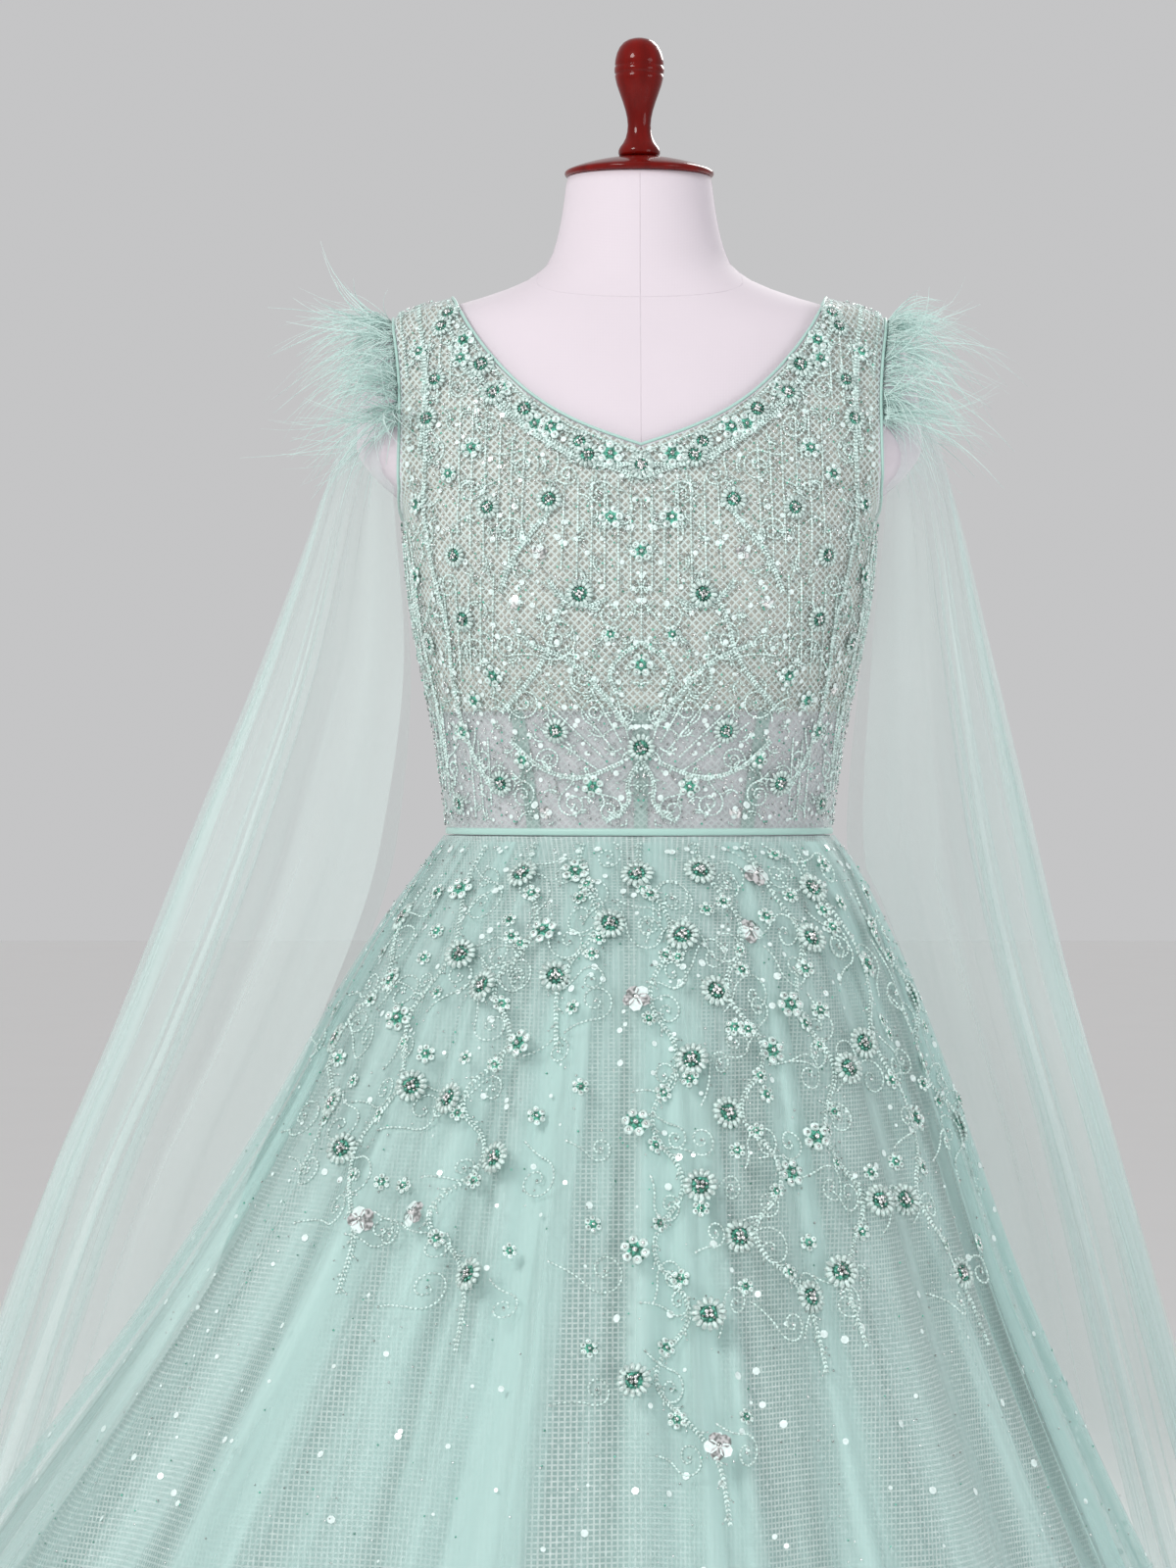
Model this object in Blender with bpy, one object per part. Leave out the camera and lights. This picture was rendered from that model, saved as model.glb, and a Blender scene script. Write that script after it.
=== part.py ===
"""Bridesmaid dress on a limbless dress form.

A V-necked beaded bodice over a bust lining, a gathered tulle skirt over a net
underskirt, a long sheer wing hanging from each shoulder and an ostrich feather
trim along each armhole. The form is a cloth-covered torso with a turned finial,
on a pole and a round foot. The front faces -Y, the floor is z = 0 and the
origin is the middle of the foot's underside. Angles run round the body from
+X, so -90 degrees is the centre front. All lengths are metres.
"""
import math
from collections import namedtuple

import bmesh
import bpy
from mathutils import Vector

# Driving dimensions
WAIST = 1.0780
WAISTBAND_HIGH = 0.0050
UNDERARM = 1.2900
ARMHOLE_LOW = 1.2935
NECK_POINT = 1.331
BACK_NECK = 1.385
LINING_HEM = 1.1597
SKIRT_HEM = 0.012
WING_HEM = 0.030
FORM_BOTTOM = 0.860
FORM_COLUMNS = 32
SEAM = 0.00034
SEAT = 0.0003

# Distances of the cloth's faces from the form
LINING_FACES = (0.0031, 0.0041)
BODICE_FACES = (0.0047, 0.0061)
BAND_FACES = (0.0038, 0.0070)
BINDING_FACES = (0.0043, 0.0067)
BINDING_WIDE = 0.0026
BINDING_GAP = 0.0006
TRIM_FACES = (0.0015, 0.0035)
SKIRT_THICK = 0.0012
UNDERSKIRT_THICK = 0.0010
WING_THICK = 0.0012

# Bodice grid: columns from the centre to the side, rows of the midriff, the bust and the strap
FRONT_COLUMNS = 9
FRONT_ROWS = (3, 7, 9)
BACK_COLUMNS = 7
BACK_ROWS = (2, 5, 9)

# Neckline seen from the front: height = NECK_POINT + slope * x + rise * x ** power
NECK_SLOPE = 0.33
NECK_RISE = 37.0
NECK_POWER = 3.1
BACK_NECK_POWER = 2.4

# Armhole edge seen from the front
ARMHOLE_X = 0.157
ARMHOLE_SPREAD = 0.008
ARMHOLE_SPREAD_FROM = 1.360
ARMHOLE_SPREAD_OVER = 0.070

# Skirt folds, and how unevenly they are spaced round the body
FOLDS = 36
POINTS_A_FOLD = 3
NET_FOLDS = 14
NET_POINTS_A_FOLD = 3
SPACING_TWICE = 0.9
SPACING_FOUR_TIMES = 0.7
NET_HEIGHTS = (SKIRT_HEM, 0.300, 0.550, 0.770, 0.930, 1.020)

# Wing folds, and how far the wing keeps off the form, the bodice and the skirt
WING_FOLDS = 4
WING_COLUMNS = 20
WING_OFF_FORM = 0.0034
WING_OFF_BODICE = 0.0100
WING_OFF_SKIRT = 0.0039
WING_NEAR_SKIRT = 0.030

# Raised flowers: how far they stand out, and where the back has none
FLOWER_HIGH = 0.0024
BACK_PLAIN_ACROSS = 0.05
BACK_PLAIN_BELOW_NECK = 0.02

# Boning casings
CASING_WIDE = 0.009
CASING_FACES = (0.0014, 0.0028)
CASING_ROWS = 5
CASING_AT_TOP = 0.0775
CASING_AT_WAIST = 0.0705

# Covered buttons
BUTTONS = 8
BUTTON_RADIUS = 0.0048
BUTTON_HIGH = 0.0026
BUTTON_CLEAR = 0.0005
BUTTON_SPAN = (1.104, 1.366)
BUTTON_STEPS = 8

# Feather trims
TRIM_INNER = 0.0038
TRIM_OUTER = 0.0098
TRIM_LOW = 1.352
LOCKS = WING_COLUMNS
LOCK_ROOT = 0.0013
LOCK_LONG = 0.048
LOCK_LONG_VARIES = 0.014
LOCK_SAG = 0.012

# Stand
FOOT_RADIUS = 0.190
COLLAR_TOP = 0.045
POLE_RADIUS = 0.016
CAP_RADIUS = 0.051
LATHE_STEPS = 28
POLE_STEPS = 12
CAP_STEPS = 24
FINIAL_STEPS = 14

# square is the power of the section's outline: 2 is an ellipse, more is squarer
FormSection = namedtuple("FormSection", "height half_width front back square")
FORM = [
    FormSection(FORM_BOTTOM, 0.166, 0.114, 0.118, 2.0),
    FormSection(0.905, 0.170, 0.114, 0.120, 2.0),
    FormSection(0.960, 0.162, 0.108, 0.114, 2.0),
    FormSection(1.020, 0.142, 0.100, 0.100, 2.0),
    FormSection(1.052, 0.1310, 0.0950, 0.0890, 2.0),
    FormSection(1.080, 0.1258, 0.0925, 0.0850, 2.0),
    FormSection(1.107, 0.1285, 0.096, 0.0855, 2.05),
    FormSection(1.144, 0.1340, 0.105, 0.0895, 2.15),
    FormSection(1.203, 0.1458, 0.119, 0.1005, 2.5),
    FormSection(1.230, 0.1508, 0.123, 0.1045, 2.65),
    FormSection(1.257, 0.1540, 0.123, 0.1075, 2.8),
    FormSection(1.288, 0.1558, 0.117, 0.1095, 3.1),
    FormSection(1.298, 0.1585, 0.116, 0.111, 2.85),
    FormSection(1.307, 0.1665, 0.1140, 0.111, 2.45),
    FormSection(1.318, 0.1800, 0.111, 0.111, 2.30),
    FormSection(1.340, 0.1930, 0.105, 0.110, 2.05),
    FormSection(1.370, 0.1910, 0.095, 0.106, 2.0),
    FormSection(1.395, 0.1850, 0.084, 0.099, 2.0),
    FormSection(1.415, 0.1750, 0.074, 0.091, 2.0),
    FormSection(1.427, 0.1570, 0.067, 0.084, 2.0),
    FormSection(1.436, 0.1270, 0.062, 0.078, 2.0),
    FormSection(1.445, 0.0970, 0.058, 0.072, 2.0),
    FormSection(1.455, 0.0740, 0.055, 0.066, 2.0),
    FormSection(1.467, 0.0610, 0.053, 0.061, 2.0),
    FormSection(1.495, 0.0530, 0.049, 0.053, 2.0),
    FormSection(1.524, 0.0490, 0.047, 0.048, 2.0),
]

SkirtSection = namedtuple("SkirtSection", "height left right front back fold net_fold")
SKIRT = [
    SkirtSection(SKIRT_HEM, 0.835, 0.610, 0.600, 0.640, 0.026, 0.016),
    SkirtSection(0.230, 0.716, 0.520, 0.512, 0.546, 0.022, 0.014),
    SkirtSection(0.440, 0.578, 0.419, 0.420, 0.450, 0.018, 0.011),
    SkirtSection(0.620, 0.443, 0.330, 0.342, 0.366, 0.0145, 0.009),
    SkirtSection(0.770, 0.330, 0.263, 0.275, 0.290, 0.011, 0.006),
    SkirtSection(0.890, 0.252, 0.220, 0.224, 0.232, 0.008, 0.004),
    SkirtSection(0.970, 0.206, 0.190, 0.186, 0.190, 0.0055, 0.003),
    SkirtSection(1.020, 0.174, 0.167, 0.154, 0.154, 0.0036, 0.0018),
    SkirtSection(1.055, 0.1480, 0.1480, 0.1230, 0.1180, 0.0018, 0.0008),
    SkirtSection(1.0752, 0.1335, 0.1335, 0.1000, 0.0922, 0.0008, 0.0001),
]

WingSection = namedtuple("WingSection", "height outer inner front back fold")
LEFT_WING = [
    WingSection(WING_HEM, 0.660, 0.500, -0.280, 0.330, 0.014),
    WingSection(0.300, 0.580, 0.420, -0.225, 0.260, 0.012),
    WingSection(0.600, 0.470, 0.340, -0.170, 0.200, 0.010),
    WingSection(0.850, 0.385, 0.257, -0.120, 0.150, 0.008),
    WingSection(0.940, 0.348, 0.216, -0.100, 0.130, 0.007),
    WingSection(1.070, 0.298, 0.173, -0.075, 0.100, 0.006),
    WingSection(1.200, 0.248, 0.160, -0.062, 0.075, 0.004),
    WingSection(1.300, 0.216, 0.166, -0.048, 0.052, 0.0015),
    WingSection(1.345, 0.204, 0.166, -0.048, 0.052, 0.0),
    WingSection(1.430, 0.150, 0.140, -0.048, 0.052, 0.0),
]
RIGHT_WING = [
    WingSection(WING_HEM, 0.600, 0.360, 0.120, 0.460, 0.014),
    WingSection(0.300, 0.505, 0.310, 0.100, 0.400, 0.012),
    WingSection(0.600, 0.402, 0.250, 0.080, 0.310, 0.010),
    WingSection(0.850, 0.328, 0.200, 0.060, 0.210, 0.008),
    WingSection(0.976, 0.290, 0.170, 0.040, 0.170, 0.007),
    WingSection(1.083, 0.262, 0.152, -0.010, 0.125, 0.006),
    WingSection(1.200, 0.234, 0.158, -0.048, 0.085, 0.004),
    WingSection(1.300, 0.214, 0.166, -0.048, 0.052, 0.0015),
    WingSection(1.345, 0.204, 0.166, -0.048, 0.052, 0.0),
    WingSection(1.430, 0.150, 0.140, -0.048, 0.052, 0.0),
]
WING_LEVELS = (0.0, 0.16, 0.32, 0.48, 0.62, 0.75, 0.85, 0.91, 0.945, 0.965, 0.983, 1.0)

# Flowers on one half of the bodice: distance from the centre, height
Flower = namedtuple("Flower", "across height")
BODICE_FLOWERS = [
    Flower(0.000, 1.317), Flower(0.034, 1.324), Flower(0.066, 1.345), Flower(0.092, 1.366),
    Flower(0.112, 1.390), Flower(0.058, 1.296), Flower(0.000, 1.262), Flower(0.038, 1.235),
    Flower(0.132, 1.348), Flower(0.104, 1.330), Flower(0.094, 1.291), Flower(0.135, 1.290),
    Flower(0.112, 1.262), Flower(0.140, 1.246), Flower(0.108, 1.221), Flower(0.133, 1.204),
    Flower(0.092, 1.183), Flower(0.000, 1.190), Flower(0.053, 1.146), Flower(0.000, 1.136),
    Flower(0.088, 1.112), Flower(0.112, 1.146), Flower(0.120, 1.098), Flower(0.030, 1.110),
]

# Flower sprays on the skirt: angle round the body, top, bottom, number
Spray = namedtuple("Spray", "angle top bottom number")
SPRAYS = [
    Spray(-96.0, 1.035, 0.690, 8), Spray(-118.0, 1.040, 0.800, 6), Spray(-140.0, 1.010, 0.880, 4),
    Spray(-74.0, 1.040, 0.780, 6), Spray(-52.0, 1.030, 0.780, 6), Spray(-32.0, 1.000, 0.860, 4),
    Spray(60.0, 1.030, 0.860, 4), Spray(90.0, 1.040, 0.780, 5), Spray(120.0, 1.030, 0.860, 4),
]
SPRAY_SWING = 5.0

# Turned outlines: radius, height, from the axis at the bottom to the axis at the top
FOOT_OUTLINE = [
    (0.0, 0.0), (FOOT_RADIUS, 0.0), (FOOT_RADIUS, 0.010), (FOOT_RADIUS - 0.008, 0.016),
    (0.060, 0.022), (0.030, 0.031), (0.028, COLLAR_TOP), (0.0, COLLAR_TOP),
]
CAP_OUTLINE = [
    (0.0, 1.5243), (CAP_RADIUS - 0.002, 1.5243), (CAP_RADIUS, 1.5262), (CAP_RADIUS, 1.5285),
    (0.046, 1.5318), (0.030, 1.5356), (0.015, 1.5384), (0.0, 1.5384),
]
FINIAL_OUTLINE = [
    (0.0, 1.5387), (0.0128, 1.5387), (0.0143, 1.5418), (0.0122, 1.5472), (0.0086, 1.5530),
    (0.0078, 1.5600), (0.0092, 1.5690), (0.0126, 1.5800), (0.0158, 1.5900), (0.0169, 1.5962),
    (0.0170, 1.6008), (0.0160, 1.6075), (0.0122, 1.6146), (0.0066, 1.6186), (0.0, 1.6199),
]

SeenColour = namedtuple("SeenColour", "red green blue roughness")
COLOURS = {
    "form_cloth": SeenColour(0.74, 0.70, 0.74, 0.85),
    "lacquered_wood": SeenColour(0.20, 0.02, 0.015, 0.15),
    "mint_tulle": SeenColour(0.45, 0.66, 0.60, 0.60),
    "mint_net": SeenColour(0.36, 0.56, 0.52, 0.70),
    "beaded_tulle": SeenColour(0.40, 0.60, 0.53, 0.50),
    "bust_lining": SeenColour(0.50, 0.52, 0.47, 0.75),
    "satin_binding": SeenColour(0.55, 0.75, 0.68, 0.40),
    "ostrich_feather": SeenColour(0.62, 0.80, 0.77, 0.80),
}


def clear_scene():
    for thing in list(bpy.data.objects):
        bpy.data.objects.remove(thing, do_unlink=True)


def material(name):
    """The Principled material of one finish, made once."""
    found = bpy.data.materials.get(name)
    if found:
        return found
    seen = COLOURS[name]
    made = bpy.data.materials.new(name)
    made.use_nodes = True
    shader = made.node_tree.nodes["Principled BSDF"]
    shader.inputs["Base Color"].default_value = (seen.red, seen.green, seen.blue, 1.0)
    shader.inputs["Roughness"].default_value = seen.roughness
    shader.inputs["Metallic"].default_value = 0.0
    return made


def add_object(name, bm, finish):
    """Turn a bmesh into a named, smooth-shaded object."""
    mesh = bpy.data.meshes.new(name)
    bm.to_mesh(mesh)
    bm.free()
    mesh.shade_smooth()
    mesh.set_sharp_from_angle(angle=math.radians(40.0))
    mesh.materials.append(material(finish))
    thing = bpy.data.objects.new(name, mesh)
    bpy.context.scene.collection.objects.link(thing)
    return thing


def smooth_column(rows, column):
    """A function of height that runs smoothly, without overshoot, through one column."""
    heights = [row.height for row in rows]
    values = [getattr(row, column) for row in rows]
    steps = [b - a for a, b in zip(heights, heights[1:])]
    slopes = [(b - a) / h for a, b, h in zip(values, values[1:], steps)]
    tangents = [slopes[0]]
    for before, after in zip(slopes, slopes[1:]):
        both = before * after
        tangents.append(2.0 * both / (before + after) if both > 0.0 else 0.0)
    tangents.append(slopes[-1])

    def value(height):
        if height <= heights[0]:
            return values[0]
        if height >= heights[-1]:
            return values[-1]
        i = 0
        while height > heights[i + 1]:
            i += 1
        step = steps[i]
        u = (height - heights[i]) / step
        start = (2 * u ** 3 - 3 * u ** 2 + 1) * values[i] + (u ** 3 - 2 * u ** 2 + u) * step * tangents[i]
        end = (3 * u ** 2 - 2 * u ** 3) * values[i + 1] + (u ** 3 - u ** 2) * step * tangents[i + 1]
        return start + end

    return value


form_width = smooth_column(FORM, "half_width")
form_front = smooth_column(FORM, "front")
form_back = smooth_column(FORM, "back")
form_square = smooth_column(FORM, "square")
skirt_left = smooth_column(SKIRT, "left")
skirt_right = smooth_column(SKIRT, "right")
skirt_front = smooth_column(SKIRT, "front")
skirt_back = smooth_column(SKIRT, "back")
skirt_fold = smooth_column(SKIRT, "fold")
net_fold = smooth_column(SKIRT, "net_fold")


def mix(a, b, share):
    return a + (b - a) * share


def signed_power(value, power):
    return math.copysign(abs(value) ** power, value)


def form_point(angle, height):
    """A point of the dress form's surface."""
    power = 2.0 / form_square(height)
    deep = form_back(height) if math.sin(angle) > 0.0 else form_front(height)
    x = form_width(height) * signed_power(math.cos(angle), power)
    y = deep * signed_power(math.sin(angle), power)
    return Vector((x, y, height))


def fold_phase(angle, folds):
    """Where in its folds the cloth is: uneven spacing, whole folds between the side seams."""
    uneven = SPACING_TWICE * math.sin(2.0 * angle) + SPACING_FOUR_TIMES * math.sin(4.0 * angle)
    return folds * angle + uneven


def skirt_ring(angle, height, inward):
    wide = skirt_right(height) if math.cos(angle) > 0.0 else skirt_left(height)
    deep = skirt_back(height) if math.sin(angle) > 0.0 else skirt_front(height)
    return (wide - inward) * math.cos(angle), (deep - inward) * math.sin(angle)


def skirt_point(angle, height):
    """The tulle skirt's outer face, with its folds."""
    depth = skirt_fold(height) * (0.8 + 0.2 * math.sin(3.0 * angle + 0.5))
    inward = depth * (1.0 - math.cos(fold_phase(angle, FOLDS)))
    x, y = skirt_ring(angle, height, inward)
    return Vector((x, y, height))


def net_point(angle, height):
    """The underskirt's outer face, inside the tulle's deepest folds."""
    clear = 2.0 * skirt_fold(height) + SKIRT_THICK * 1.15 + SEAT
    clear += net_fold(height) * (1.2 - math.cos(fold_phase(angle, NET_FOLDS)))
    x, y = skirt_ring(angle, height, clear)
    return Vector((x, y, height))


def normal_of(surface, across, height):
    """The outward normal of a surface, from small steps along it."""
    da = 0.002
    dh = 0.0006
    along = surface(across + da, height) - surface(across - da, height)
    upward = surface(across, height + dh) - surface(across, height - dh)
    return along.cross(upward).normalized()


def frames_on(surface, places):
    """The point and the normal at each place (across, height) of a surface."""
    return {key: (surface(*place), normal_of(surface, *place)) for key, place in places.items()}


def wall(name, frames, quads, faces_at, finish, raised=(), mirror=False):
    """A closed cloth wall: quads on the outer face, the same on the inner face, and a rim.

    frames maps each key to a point and its normal. faces_at gives the distances
    of the inner and the outer face. Keys in raised stand out further.
    """
    bm = bmesh.new()
    flip = Vector((-1.0, 1.0, 1.0)) if mirror else Vector((1.0, 1.0, 1.0))
    outer = {}
    inner = {}
    for key, (point, normal) in frames.items():
        high = faces_at[1] + (FLOWER_HIGH if key in raised else 0.0)
        outer[key] = bm.verts.new((point + normal * high) * flip)
        inner[key] = bm.verts.new((point + normal * faces_at[0]) * flip)
    edges = set()
    for a, b, c, d in quads:
        edges.update([(a, b), (b, c), (c, d), (d, a)])
        for corner in ((a, b, c), (a, c, d)):
            bm.faces.new([outer[key] for key in corner])
            bm.faces.new([inner[key] for key in reversed(corner)])
    for start, end in edges:
        if (end, start) not in edges:
            bm.faces.new([outer[end], outer[start], inner[start], inner[end]])
    if bm.calc_volume(signed=True) < 0.0:
        bmesh.ops.reverse_faces(bm, faces=bm.faces)
    return add_object(name, bm, finish)


def grid_quads(rows, columns):
    """Quads of a grid with keys (row, column)."""
    return [
        [(r, c), (r, c + 1), (r + 1, c + 1), (r + 1, c)]
        for r in range(rows) for c in range(columns)
    ]


def spun(outline, steps):
    """A bmesh of an outline, given as radius and height, spun round the vertical axis."""
    bm = bmesh.new()
    verts = [bm.verts.new((radius, 0.0, height)) for radius, height in outline]
    edges = [bm.edges.new(pair) for pair in zip(verts, verts[1:])]
    bmesh.ops.spin(
        bm, geom=verts + edges, cent=(0.0, 0.0, 0.0), axis=(0.0, 0.0, 1.0),
        angle=math.tau, steps=steps, use_merge=True,
    )
    bmesh.ops.remove_doubles(bm, verts=bm.verts, dist=0.00001)
    bmesh.ops.recalc_face_normals(bm, faces=bm.faces)
    return bm


# Dress form and stand

def make_form():
    """The padded torso: rings through the form's sections, closed flat at both ends."""
    bm = bmesh.new()
    rings = []
    for section in FORM:
        ring = [form_point(math.tau * i / FORM_COLUMNS, section.height) for i in range(FORM_COLUMNS)]
        rings.append([bm.verts.new(point) for point in ring])
    for low, high in zip(rings, rings[1:]):
        for i in range(FORM_COLUMNS):
            j = (i + 1) % FORM_COLUMNS
            bm.faces.new([low[i], low[j], high[j], high[i]])
    bm.faces.new(list(reversed(rings[0])))
    bm.faces.new(rings[-1])
    return add_object("form_torso", bm, "form_cloth")


def make_stand():
    """Foot and pole below the form, cap and finial above it, all turned wood."""
    low = COLLAR_TOP + SEAT
    high = FORM_BOTTOM - SEAT
    pole_outline = [(0.0, low), (POLE_RADIUS, low), (POLE_RADIUS, high), (0.0, high)]
    for name, outline, steps in (
        ("stand_foot", FOOT_OUTLINE, LATHE_STEPS), ("stand_pole", pole_outline, POLE_STEPS),
        ("neck_cap", CAP_OUTLINE, CAP_STEPS), ("finial", FINIAL_OUTLINE, FINIAL_STEPS),
    ):
        add_object(name, spun(outline, steps), "lacquered_wood")


# Edges of the bodice on the right half, as (angle off the side, height)

def seam_angle(height):
    """The angle off the side seam that leaves half the seam's gap."""
    return math.asin((0.5 * SEAM / form_front(height)) ** (0.5 * form_square(height)))


def centre_angle(height):
    """The angle of the centre back edge, half the seam's gap off the centre plane."""
    return math.acos((0.5 * SEAM / form_width(height)) ** (0.5 * form_square(height)))


def side_angle(across, height):
    """The angle off the side at which the form is this far from the centre plane."""
    share = min(1.0, across / form_width(height)) ** (0.5 * form_square(height))
    return max(math.acos(share), seam_angle(height))


def armhole_x(height):
    rise = (height - ARMHOLE_SPREAD_FROM) / ARMHOLE_SPREAD_OVER
    return ARMHOLE_X + ARMHOLE_SPREAD * max(0.0, rise) ** 2


def ridge_height(outset):
    """The height where a line beside the armhole crosses the top of the shoulder."""
    low, high = 1.39, 1.45
    for _ in range(40):
        middle = 0.5 * (low + high)
        if form_width(middle) > armhole_x(middle) + outset:
            low = middle
        else:
            high = middle
    return low


def armhole_path(share, outset=0.0, lowest=ARMHOLE_LOW):
    """A place beside the armhole: share 0 at its foot, 0.5 on the top of the shoulder."""
    top = ridge_height(outset)
    height = lowest + (top - lowest) * math.sin(math.pi * share) ** 2
    return side_angle(armhole_x(height) + outset, height), height


def front_neck_height(x):
    return NECK_POINT + NECK_SLOPE * x + NECK_RISE * x ** NECK_POWER


def neck_top():
    """Where the neckline crosses the top of the shoulder: distance from the centre, height."""
    low, high = 0.10, 0.15
    for _ in range(40):
        middle = 0.5 * (low + high)
        if form_width(front_neck_height(middle)) > middle:
            low = middle
        else:
            high = middle
    return low, front_neck_height(low)


NECK_TOP_X, NECK_TOP_HEIGHT = neck_top()


def neck_path(share, back):
    """A place on the neckline: share 0 at the centre, 1 on the top of the shoulder."""
    x = NECK_TOP_X * (1.0 - (1.0 - share) ** 2)
    if back:
        height = mix(BACK_NECK, NECK_TOP_HEIGHT, (x / NECK_TOP_X) ** BACK_NECK_POWER)
    else:
        height = front_neck_height(x)
    return side_angle(x, height), height


def panel_edges(row, rows, back):
    """The inner and the outer place of one row of a half panel."""
    midriff, bust, strap = rows
    inner_top = BACK_NECK if back else NECK_POINT
    if row <= midriff:
        height = mix(bodice_bottom(), LINING_HEM, row / midriff)
        centre = centre_angle(height) if back else math.pi / 2
        return (centre, height), (seam_angle(height), height)
    if row <= midriff + bust:
        share = (row - midriff) / bust
        outer_height = mix(LINING_HEM, UNDERARM, share)
        inner_height = mix(LINING_HEM, inner_top, share)
        centre = centre_angle(inner_height) if back else math.pi / 2
        return (centre, inner_height), (seam_angle(outer_height), outer_height)
    step = row - midriff - bust
    inner = neck_path(step / strap, back)
    outer = armhole_path(0.5 * (step - 1) / (strap - 1))
    return inner, outer


def half_panel(rows, columns, back):
    """Places of a half panel on the right, keys (row, column), column 0 at the centre."""
    places = {}
    turn = 1.0 if back else -1.0
    for row in range(sum(rows) + 1):
        inner, outer = panel_edges(row, rows, back)
        for column in range(columns + 1):
            share = column / columns
            angle = turn * mix(inner[0], outer[0], share)
            places[(row, column)] = (angle, mix(outer[1], inner[1], (1.0 - share) ** 2))
    return places


def front_panel():
    """Places and quads of the whole front: two halves that share the centre line below the V."""
    half = half_panel(FRONT_ROWS, FRONT_COLUMNS, back=False)
    split = FRONT_ROWS[0] + FRONT_ROWS[1]

    def key(side, row, column):
        return (row, 0 if column == 0 and row <= split else side, column)

    places = {}
    quads = []
    for side in (-1, 1):
        for (row, column), (angle, height) in half.items():
            places[key(side, row, column)] = (angle if side > 0 else -math.pi - angle, height)
        for quad in grid_quads(sum(FRONT_ROWS), FRONT_COLUMNS):
            keys = [key(side, row, column) for row, column in quad]
            quads.append(keys[::side])
    return places, quads


def back_panel():
    """Places and quads of the right half of the back."""
    places = half_panel(BACK_ROWS, BACK_COLUMNS, back=True)
    return places, grid_quads(sum(BACK_ROWS), BACK_COLUMNS)


def rows_from(first, places, quads):
    """The part of a panel from one row upwards."""
    kept = {key: place for key, place in places.items() if key[0] >= first}
    return kept, [quad for quad in quads if all(key in kept for key in quad)]


def nearest_keys(surface, places, spots, allowed):
    """The keys, of the allowed ones, whose points lie nearest to the spots."""
    points = {key: surface(*places[key]) for key in places if allowed(key)}
    found = set()
    for spot in spots:
        found.add(min(points, key=lambda key: (points[key] - spot).length))
    return found


def bodice_spots(back):
    """Flower centres on the form's surface, both halves."""
    spots = []
    for flower in BODICE_FLOWERS:
        too_high = flower.height > BACK_NECK - BACK_PLAIN_BELOW_NECK
        if back and (flower.across < BACK_PLAIN_ACROSS or too_high):
            continue
        angle = side_angle(flower.across, flower.height) * (1.0 if back else -1.0)
        point = form_point(angle, flower.height)
        spots.append(point)
        spots.append(Vector((-point.x, point.y, point.z)))
    return spots


def bodice_bottom():
    return WAIST + 0.5 * WAISTBAND_HIGH + SEAT


def make_bodice():
    """Front in one piece with the straps, back in two halves that button at the centre."""
    places, quads = front_panel()

    def inside_front(key):
        row, _, column = key
        near_neck = row >= FRONT_ROWS[0] + FRONT_ROWS[1] - 1 and column < 2
        return 0 < row < sum(FRONT_ROWS) - 1 and column < FRONT_COLUMNS - 1 and not near_neck

    raised = nearest_keys(form_point, places, bodice_spots(False), inside_front)
    wall("bodice_front", frames_on(form_point, places), quads, BODICE_FACES, "beaded_tulle", raised)

    places, quads = back_panel()

    def inside_back(key):
        row, column = key
        return 0 < row < sum(BACK_ROWS) - 2 and 1 < column < BACK_COLUMNS - 1

    spots = [spot for spot in bodice_spots(True) if spot.x > 0.0]
    raised = nearest_keys(form_point, places, spots, inside_back)
    frames = frames_on(form_point, places)
    wall("bodice_back_right", frames, quads, BODICE_FACES, "beaded_tulle", raised)
    wall("bodice_back_left", frames, quads, BODICE_FACES, "beaded_tulle", raised, mirror=True)


def make_lining():
    """The bust lining: the bodice's own outline, inside it, down to a straight hem."""
    places, quads = rows_from(FRONT_ROWS[0], *front_panel())
    wall("lining_front", frames_on(form_point, places), quads, LINING_FACES, "bust_lining")
    places, quads = rows_from(BACK_ROWS[0], *back_panel())
    frames = frames_on(form_point, places)
    wall("lining_back_right", frames, quads, LINING_FACES, "bust_lining")
    wall("lining_back_left", frames, quads, LINING_FACES, "bust_lining", mirror=True)


def make_casings():
    """Three boning casings on the sheer midriff, below the lining's hem."""
    low = bodice_bottom()
    high = LINING_HEM - SEAT
    for name, side in (("casing_left", -1), ("casing_centre", 0), ("casing_right", 1)):
        places = {}
        for row in range(CASING_ROWS + 1):
            height = mix(low, high, row / CASING_ROWS)
            middle = side * mix(CASING_AT_WAIST, CASING_AT_TOP, row / CASING_ROWS)
            for column in (0, 1):
                x = middle + CASING_WIDE * (column - 0.5)
                places[(row, column)] = (-math.acos(x / form_width(height)), height)
        quads = grid_quads(CASING_ROWS, 1)
        wall(name, frames_on(form_point, places), quads, CASING_FACES, "satin_binding")


def make_waistband():
    """The narrow band that the bodice and the gathered skirt are sewn to."""
    places = {}
    quads = []
    for row in (0, 1):
        height = WAIST + WAISTBAND_HIGH * (row - 0.5)
        for column in range(FORM_COLUMNS):
            places[(row, column)] = (math.tau * column / FORM_COLUMNS, height)
    for column in range(FORM_COLUMNS):
        after = (column + 1) % FORM_COLUMNS
        quads.append([(0, column), (0, after), (1, after), (1, column)])
    wall("waistband", frames_on(form_point, places), quads, BAND_FACES, "satin_binding")


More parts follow.
